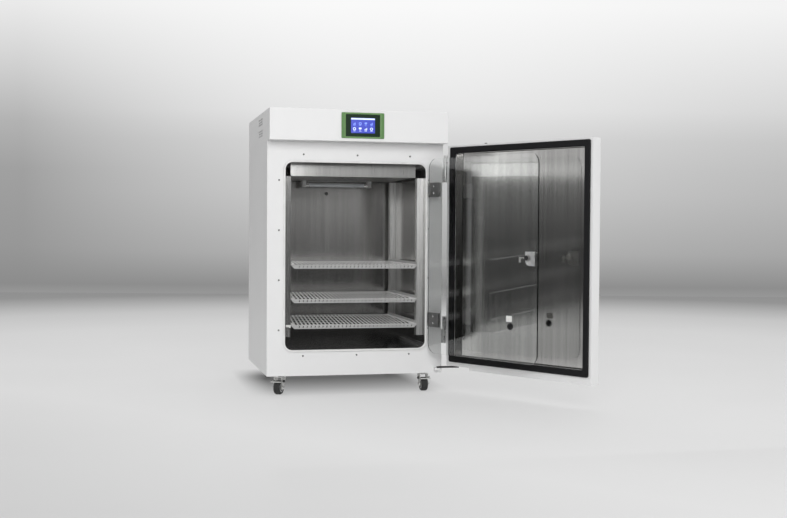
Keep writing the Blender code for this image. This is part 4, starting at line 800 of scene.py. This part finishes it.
class INCUBATOR_OT_chamber(bpy.types.Operator):
    """Finish the chamber, its air cover, lamp, uprights, runners and shelves"""

    bl_idname = "incubator.chamber"
    bl_label = "Chamber"

    def execute(self, context):
        dress("steel_wall", "inner_chamber")
        dress("steel_cover", "plenum_cover")
        dress("steel_fan", "fan_wheel")
        dress("dark_zinc", "chamber_probe")
        dress("lamp_body", "ultraviolet_lamp")
        for side in SIDES:
            # The left uprights take a darker copy of the steel, which is painted shade. The right uprights
            # take a lighter copy, which is painted light.
            dress(f"steel_{side}", *[f"upright_{end}_{side}" for end in ENDS])
            dress("steel_shelf", *[f"shelf_runner_{level}_{side}" for level in LEVELS])
        for level in LEVELS:
            make_shelf(level)
        make_lamp_tube()
        make_runner_stop()
        return {"FINISHED"}


# Outer door

def make_hinge_screws(name):
    """The two screws in each leaf of one hinge, in the cabinet's side and the door's edge."""
    size = (0.0030, 0.0014)
    low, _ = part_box(f"cabinet_hinge_{name}")
    places = [((low.x + 0.0022, 0.026, low.z + up), (1, 0, 0)) for up in (0.012, 0.036)]
    make_screws(f"cabinet_hinge_screws_{name}", "zinc", places, size)
    low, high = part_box(f"door_hinge_{name}")
    places = [((0.3150, -0.031, z), (1, 0, 0)) for z in (low.z + 0.010, high.z - 0.010)]
    make_screws(f"door_hinge_screws_{name}", "zinc", places, size, "outer_door", OUTER_DOOR)


class INCUBATOR_OT_outer_door(bpy.types.Operator):
    """Finish the outer door, its inner panel, gasket, hinges, handle and stay"""

    bl_idname = "incubator.outer_door"
    bl_label = "Outer door"

    def execute(self, context):
        dress("paint", "outer_door")
        dress("steel_door", "door_inner_panel")
        dress("rubber", "door_gasket")
        dress("zinc", "door_handle")
        dress("black_paint", "door_stay")
        for name in HINGES:
            dress("zinc", f"cabinet_hinge_{name}", f"door_hinge_{name}")
            make_hinge_screws(name)
        make_top_catch()
        return {"FINISHED"}


# Glass door

def make_clamp_screws(name):
    """Two screws on each face of a clamp, one pair over the other."""
    low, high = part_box(f"glass_hinge_clamp_{name}")
    faces = ((-0.0141, -1), (-0.0030, 1))
    heights = [(low.z + high.z) / 2 + up for up in (-0.012, 0.012)]
    places = [((0.2290, y, z), (0, way, 0)) for z in heights for y, way in faces]
    make_screws(f"clamp_screws_{name}", "chrome", places, (0.0036, 0.0016), "glass_door", GLASS_DOOR)


def make_latch_cap():
    """The black cap on the latch's spindle, on the pane's inner side."""
    bm = bmesh.new()
    profile = [(0.0, 0.0), (0.0085, 0.0), (0.0085, 0.0022), (0.0070, 0.0034), (0.0, 0.0034)]
    add_lathe(bm, profile, (-0.2145, 0.0007, 0.489), (0, 1, 0), 20)
    piece_from(bm, "latch_cap", "black_plastic", "latch", GLASS_DOOR)


def make_port_clip():
    """The white clip on the pane's inner face, over the rubber plug."""
    bm = bmesh.new()
    add_box(bm, (-0.1480, -0.0057, 0.2775), (-0.1230, -0.0030, 0.2975), 0.0010)
    add_box(bm, (-0.1440, -0.0032, 0.2800), (-0.1270, -0.0022, 0.2925), 0.0004, 1)
    piece_from(bm, "port_clip", "white_plastic", "glass_door", GLASS_DOOR)


class INCUBATOR_OT_glass_door(bpy.types.Operator):
    """Finish the glass door, its clamps, latch and access port"""

    bl_idname = "incubator.glass_door"
    bl_label = "Glass door"

    def execute(self, context):
        dress("glass", "glass_pane")
        dress("latch_plate", "glass_latch_plate")
        dress("bright_zinc", "glass_latch")
        dress("rubber", "port_plug")
        for name in HINGES:
            dress("clamp", f"glass_hinge_clamp_{name}")
            dress("zinc", f"glass_hinge_bracket_{name}")
            make_clamp_screws(name)
        make_latch_cap()
        make_port_clip()
        return {"FINISHED"}


# Castors

def make_castor_pair(name, key, body, end, side, profile, out, up, steps):
    """A turned shape on both sides of a castor, out from its middle and up from the floor."""
    x, y = CASTOR_PLATES[end]
    turn = radians(-30.0) if (end, side) == ("front", "left") else 0.0
    trail = -TRAIL if end == "front" else TRAIL
    bm = bmesh.new()
    for face in (-1, 1):
        add_lathe(bm, profile, (face * out, trail, up), (face, 0, 0), steps)
    place = Matrix.Translation((x if side == "right" else -x, y, 0.0)) @ Matrix.Rotation(turn, 4, "Z")
    piece_from(bm, name, key, body, place)


def make_wheel_centres(end, side):
    """The grey moulded discs in the two faces of a wheel, with their bosses and recessed ring."""
    profile = [
        (0.0040, 0.0060), (0.0040, 0.0124), (0.0070, 0.0124), (0.0078, 0.0116), (0.0130, 0.0108),
        (0.0150, 0.0112), (0.0168, 0.0106), (0.0168, 0.0060), (0.0040, 0.0060),
    ]
    name, body = f"wheel_centres_{end}_{side}", f"wheel_{end}_{side}"
    make_castor_pair(name, "hub", body, end, side, profile, 0.0, AXLE_HEIGHT, 28)


def make_brake_knobs(side):
    """The black knobs on the ends of a brake lever's pivot."""
    profile = [(0.0, 0.0), (0.0042, 0.0), (0.0048, 0.0010), (0.0046, 0.0034), (0.0034, 0.0042), (0.0, 0.0042)]
    name, body = f"brake_knobs_{side}", f"brake_front_{side}"
    make_castor_pair(name, "black_plastic", body, "front", side, profile, 0.0183, 0.0470, 18)


def make_axle_caps(end, side):
    """Domed caps over the axle nuts."""
    profile = [(0.0, 0.0), (0.0052, 0.0), (0.0052, 0.0008), (0.0040, 0.0020), (0.0020, 0.0026), (0.0, 0.0028)]
    name, body = f"axle_caps_{end}_{side}", f"castor_{end}_{side}"
    make_castor_pair(name, "chrome", body, end, side, profile, 0.0186, AXLE_HEIGHT, 16)


class INCUBATOR_OT_castors(bpy.types.Operator):
    """Finish the castors, and add the grey centres of the wheels"""

    bl_idname = "incubator.castors"
    bl_label = "Castors"

    def execute(self, context):
        for end in ENDS:
            for side in SIDES:
                dress("bright_zinc", f"castor_fork_{end}_{side}")
                dress("tyre", f"castor_wheel_{end}_{side}")
                make_wheel_centres(end, side)
                make_axle_caps(end, side)
        for side in SIDES:
            dress("bright_zinc", f"castor_brake_lever_front_{side}")
            make_brake_knobs(side)
        return {"FINISHED"}


# Studio

def area_lamp(name, at, aim, size, power):
    lamp = bpy.data.lights.new(name, "AREA")
    lamp.shape = "RECTANGLE"
    lamp.size, lamp.size_y = size
    lamp.energy = power
    obj = bpy.data.objects.new(name, lamp)
    obj.location = at
    obj.rotation_euler = (Vector(aim) - Vector(at)).to_track_quat("-Z", "Y").to_euler()
    bpy.context.scene.collection.objects.link(obj)


def make_camera():
    """The camera at the photograph's place, from its heading, pitch and roll."""
    pitch, roll = -0.0267, 0.0064
    level = cos(pitch)
    forward = Vector((sin(HEADING) * level, cos(HEADING) * level, sin(pitch)))
    level_right = Vector((cos(HEADING), -sin(HEADING), 0.0))
    level_up = level_right.cross(forward)
    right = level_right * cos(roll) + level_up * sin(roll)
    up = -level_right * sin(roll) + level_up * cos(roll)
    data = bpy.data.cameras.new("camera")
    data.sensor_width = 36.0
    data.lens = 52.64
    data.clip_end = 60.0
    obj = bpy.data.objects.new("camera", data)
    turn = Matrix((right, up, -forward)).transposed().to_4x4()
    obj.matrix_world = Matrix.Translation((-0.8172, -3.9443, 0.5821)) @ turn
    bpy.context.scene.collection.objects.link(obj)
    bpy.context.scene.camera = obj


def seen_rays(tree):
    """One where the studio's background is seen, straight on, in metal or through glass."""
    path = node(tree, "LightPath", {}).outputs
    seen = calculated(tree, "MAXIMUM", path["Is Camera Ray"], path["Is Glossy Ray"])
    return calculated(tree, "MAXIMUM", seen, path["Is Transmission Ray"])


def make_world(strength):
    """Even white light, which shows as grey where it is seen."""
    world = bpy.data.worlds.new("studio")
    bpy.context.scene.world = world
    world.use_nodes = True
    tree = world.node_tree
    tree.nodes.clear()
    even = node(tree, "Background", {"Color": (*grey(1.0), 1.0), "Strength": strength}).outputs["Background"]
    seen = node(tree, "Background", {"Color": (*grey(0.40), 1.0)}).outputs["Background"]
    mix = node(tree, "MixShader", {"Fac": seen_rays(tree), 1: even, 2: seen})
    node(tree, "OutputWorld", {"Surface": mix.outputs["Shader"]})


def blank_material(name):
    material = bpy.data.materials.new(name)
    material.use_nodes = True
    material.node_tree.nodes.clear()
    return material, material.node_tree


def stage_space(tree):
    """The place on a piece of the stage, that place along each axis, and how far it is from the middle."""
    place = node(tree, "TexCoord", {}).outputs["Object"]
    along = node(tree, "SeparateXYZ", {"Vector": place}).outputs
    flat = node(tree, "VectorMath", {0: place, 1: (1.0, 1.0, 0.0)}, operation="MULTIPLY").outputs["Vector"]
    far = node(tree, "VectorMath", {0: flat}, operation="LENGTH").outputs["Value"]
    return place, along, far


def link_stage(bm, name, material, turn=0.0):
    obj = object_from(bm, name, material, 40.0)
    obj.location = STAGE_MIDDLE
    obj.rotation_euler.z = turn


def make_backdrop():
    """A wall all round the floor that glows only where it is seen, with painted light and shade. It is bright
    high up and in the middle of each side, dark at its foot, and darker on the camera's side.
    """
    material, tree = blank_material("studio_wall")
    _, along, far = stage_space(tree)
    height = ranged(tree, along["Z"], 0.0, 2.6)
    middle = grey_ramp(tree, height, (
        (0.0, 0.31), (0.03, 0.275), (0.14, 0.44), (0.34, 0.59), (0.52, 0.68), (0.62, 0.80), (0.97, 0.95)
    ))
    side = grey_ramp(tree, height, (
        (0.0, 0.31), (0.03, 0.262), (0.16, 0.31), (0.42, 0.355), (0.58, 0.45), (0.75, 0.62), (0.97, 0.82)
    ))
    aside = calculated(tree, "MULTIPLY", ranged(tree, far, 6.02, 6.85), ranged(tree, along["X"], 6.5, -1.5))
    towards_camera = ranged(tree, along["Y"], 1.0, -3.0)
    shade = multiplied(tree, mixed(tree, aside, middle, side), (*grey(0.5), 1.0), towards_camera)
    clear = node(tree, "BsdfTransparent", {}).outputs["BSDF"]
    glow = node(tree, "Emission", {"Color": shade}).outputs["Emission"]
    mix = node(tree, "MixShader", {"Fac": seen_rays(tree), 1: clear, 2: glow})
    node(tree, "OutputMaterial", {"Surface": mix.outputs["Shader"]})
    bm = bmesh.new()
    outline = rounded(ROOM, ROOM, ROOM_CORNER, (0.0, 0.0), 16)
    foot, head = ([bm.verts.new((x, y, z)) for x, y in outline] for z in (0.0, WALL_HEIGHT))
    for k in range(len(outline)):
        after = (k + 1) % len(outline)
        bm.faces.new((foot[k], foot[after], head[after], head[k]))
    link_stage(bm, "backdrop", material, -HEADING)


def make_floor(colour):
    """A pale floor that keeps the object's shadow. It has painted shade towards the wall and towards the
    front left, a painted shadow under the object, and, where it is seen, a glow of its own.
    """
    material, tree, shader = shader_material("studio_floor", colour, 0.75)
    place, along, far = stage_space(tree)
    mottled(tree, shader, colour, noise(tree, object_space(tree), 1.5), 0.008)
    full = shader.inputs["Base Color"].links[0].from_socket
    # Painted shade, darker towards the wall and towards the front left.
    fade = grey_ramp(
        tree, ranged(tree, far, 2.4, 6.0), ((0.0, 1.0), (0.16, 1.0), (0.48, 0.88), (0.80, 0.60), (1.0, 0.45))
    )
    corner = node(tree, "VectorMath", {0: place, 1: (-0.8, -0.6, 0.0)}, operation="DOT_PRODUCT")
    dim = grey_ramp(tree, ranged(tree, corner.outputs["Value"], 0.9, 3.2), ((0.0, 1.0), (1.0, 0.50)))
    # A painted shadow under the cabinet, on top of the real one.
    aside = calculated(tree, "ABSOLUTE", calculated(tree, "ADD", along["X"], STAGE_MIDDLE[0]))
    under = ranged(tree, aside, 0.37, 0.26)
    for start, end in ((0.00, 0.46), (0.78, 0.56)):
        under = calculated(tree, "MULTIPLY", under, ranged(tree, along["Y"], start, end))
    shadow = grey_ramp(tree, under, ((0.0, 1.0), (1.0, 0.22)))
    faded = multiplied(tree, multiplied(tree, multiplied(tree, full, fade), dim), shadow)
    rays = seen_rays(tree)
    # Where the floor is seen it glows by half. This is painted light, which lightens the shadows.
    lit_share, own_share = 0.48, 0.50
    lit_colour = multiplied(tree, faded, (*grey(lit_share), 1.0), rays)
    tree.links.new(lit_colour, shader.inputs["Base Color"])
    tree.links.new(faded, shader.inputs["Emission Color"])
    tree.links.new(calculated(tree, "MULTIPLY", rays, own_share), shader.inputs["Emission Strength"])
    bm = bmesh.new()
    add_outline(bm, rounded(26.0, 26.0, 0.5, (0.0, 0.0), 4), -0.0200, -0.0001, "Z")
    link_stage(bm, "floor", material)


def reflected_card(name, outline, add_shade):
    """A glowing board that is seen in reflections alone."""
    material, tree = blank_material(name)
    _, along, _ = stage_space(tree)
    glow = node(tree, "Emission", {"Color": add_shade(tree, along)}).outputs["Emission"]
    node(tree, "OutputMaterial", {"Surface": glow})
    bm = bmesh.new()
    bm.faces.new([bm.verts.new(place) for place in outline])
    card = object_from(bm, name, material)
    card.visible_camera = False
    card.visible_diffuse = False
    card.visible_shadow = False


def make_front_card():
    """A glowing board for the dim room in front of the cabinet, as a painted reflection in the chamber's
    walls and floor.
    """
    left, right, y, top = -0.45, 1.35, -1.2, 0.93

    def shade(tree, along):
        rise = ranged(tree, along["Z"], 0.0, top)
        upward = grey_ramp(tree, rise, ((0.0, 0.012), (0.38, 0.04), (0.58, 0.15), (0.76, 0.34), (1.0, 0.42)))
        across = ranged(tree, along["X"], 0.0, 0.55)
        return multiplied(tree, upward, grey_ramp(tree, across, ((0.0, 0.55), (1.0, 1.0))))

    reflected_card("card_front", ((left, y, 0.0), (right, y, 0.0), (right, y, top), (left, y, top)), shade)


def make_side_board(name, outline, least, most, inner=1.0, x=-2.1):
    """One board: least and most are its greys at foot and head, inner lights its far part."""
    def shade(tree, along):
        rise = ranged(tree, along["Z"], 0.10, 0.87)
        upward = grey_ramp(tree, rise, ((0.0, least), (0.50, least * 1.4), (1.0, most)))
        inward = ranged(tree, along["Y"], -0.04, 0.18)
        return multiplied(tree, upward, grey_ramp(tree, inward, ((0.0, 1.0), (1.0, inner))))

    reflected_card(name, [(x, y, z) for y, z in outline], shade)


def make_side_cards():
    """Glowing boards for painted reflections in the open doors: a dark board with a bright top edge, pale
    rails, and a board for the ground.
    """
    foot = [(0.75, -0.01), (0.45, 0.0), (-0.25, 0.174), (-0.5, 0.236)]
    make_side_board("card_dark", [(0.75, 0.872), *foot, (-0.5, 0.872)], 0.052, 0.2275)
    near, far = -0.5, 1.0
    bands = (("bright", 0.875, 0.945, 1.0), ("line", 0.945, 0.956, 0.40), ("above", 0.956, 1.25, 0.66))
    for name, low, high, level in bands:
        outline = [(far, high), (far, low), (near, low), (near, high)]
        make_side_board(f"card_{name}", outline, 0.95 * level, level, 1.6)
    near, far, thick, level = -0.25, 0.45, 0.006, 0.60
    rails = (("upper", 0.413, 0.520), ("middle", 0.226, 0.372), ("lower", 0.076, 0.254))
    for name, far_top, near_top in rails:
        outline = [(far, far_top), (far, far_top - thick), (near, near_top - thick), (near, near_top)]
        make_side_board(f"card_rail_{name}", outline, 0.95 * level, level, x=-2.096)

    def ground(tree, along):
        return grey_ramp(tree, ranged(tree, along["X"], -2.1, -0.6), ((0.0, 0.52), (0.7, 0.46), (1.0, 0.58)))

    left, right, half, z = -2.08, -0.6, 0.9, 0.004
    corners = ((left, -half, z), (right, -half, z), (right, half, z), (left, half, z))
    reflected_card("card_ground", corners, ground)


class INCUBATOR_OT_stage(bpy.types.Operator):
    """Set the floor, the soft lamps and the camera"""

    bl_idname = "incubator.stage"
    bl_label = "Studio"

    def execute(self, context):
        stage = context.scene.incubator_stage
        make_floor(stage.floor)
        make_backdrop()
        make_front_card()
        make_side_cards()
        make_world(stage.sky)
        area_lamp("key", (-0.55, -4.35, 2.05), (0.0, 0.0, 0.95), (2.7, 2.1), stage.key_power)
        area_lamp("fill", (-3.2, -1.0, 1.6), (0.0, 0.2, 0.5), (1.6, 1.6), stage.fill_power)
        area_lamp("right", (3.2, -2.2, 1.5), (0.5, -0.3, 0.5), (1.4, 1.6), stage.right_power)
        area_lamp("top", (0.4, 0.6, 3.2), (0.1, 0.2, 0.6), (2.4, 2.4), stage.top_power)
        make_camera()
        context.scene.view_settings.view_transform = "Standard"
        return {"FINISHED"}


class INCUBATOR_PT_panel(bpy.types.Panel):
    """The incubator's settings and the steps that make it"""

    bl_idname = "INCUBATOR_PT_panel"
    bl_label = "Incubator"
    bl_space_type = "VIEW_3D"
    bl_region_type = "UI"
    bl_category = "Incubator"

    def draw(self, context):
        for name in GROUPS:
            group = getattr(context.scene, name)
            box = self.layout.box()
            for key in group.__annotations__:
                box.prop(group, key)
        for operator in OPERATORS:
            self.layout.operator(operator.bl_idname)


OPERATORS = (
    INCUBATOR_OT_cabinet,
    INCUBATOR_OT_head,
    INCUBATOR_OT_chamber,
    INCUBATOR_OT_outer_door,
    INCUBATOR_OT_glass_door,
    INCUBATOR_OT_castors,
    INCUBATOR_OT_stage,
)
GROUPS = {
    "incubator_finish": IncubatorFinish,
    "incubator_sizes": IncubatorSizes,
    "incubator_stage": IncubatorStage,
}
CLASSES = (*GROUPS.values(), *OPERATORS, INCUBATOR_PT_panel)


def register():
    for item in CLASSES:
        bpy.utils.register_class(item)
    for name, group in GROUPS.items():
        setattr(bpy.types.Scene, name, PointerProperty(type=group))


def unregister():
    for name in GROUPS:
        delattr(bpy.types.Scene, name)
    for item in reversed(CLASSES):
        bpy.utils.unregister_class(item)


def main():
    register()
    bpy.ops.incubator.cabinet()
    bpy.ops.incubator.head()
    bpy.ops.incubator.chamber()
    bpy.ops.incubator.outer_door()
    bpy.ops.incubator.glass_door()
    bpy.ops.incubator.castors()
    bpy.ops.incubator.stage()


if __name__ == "__main__":
    main()
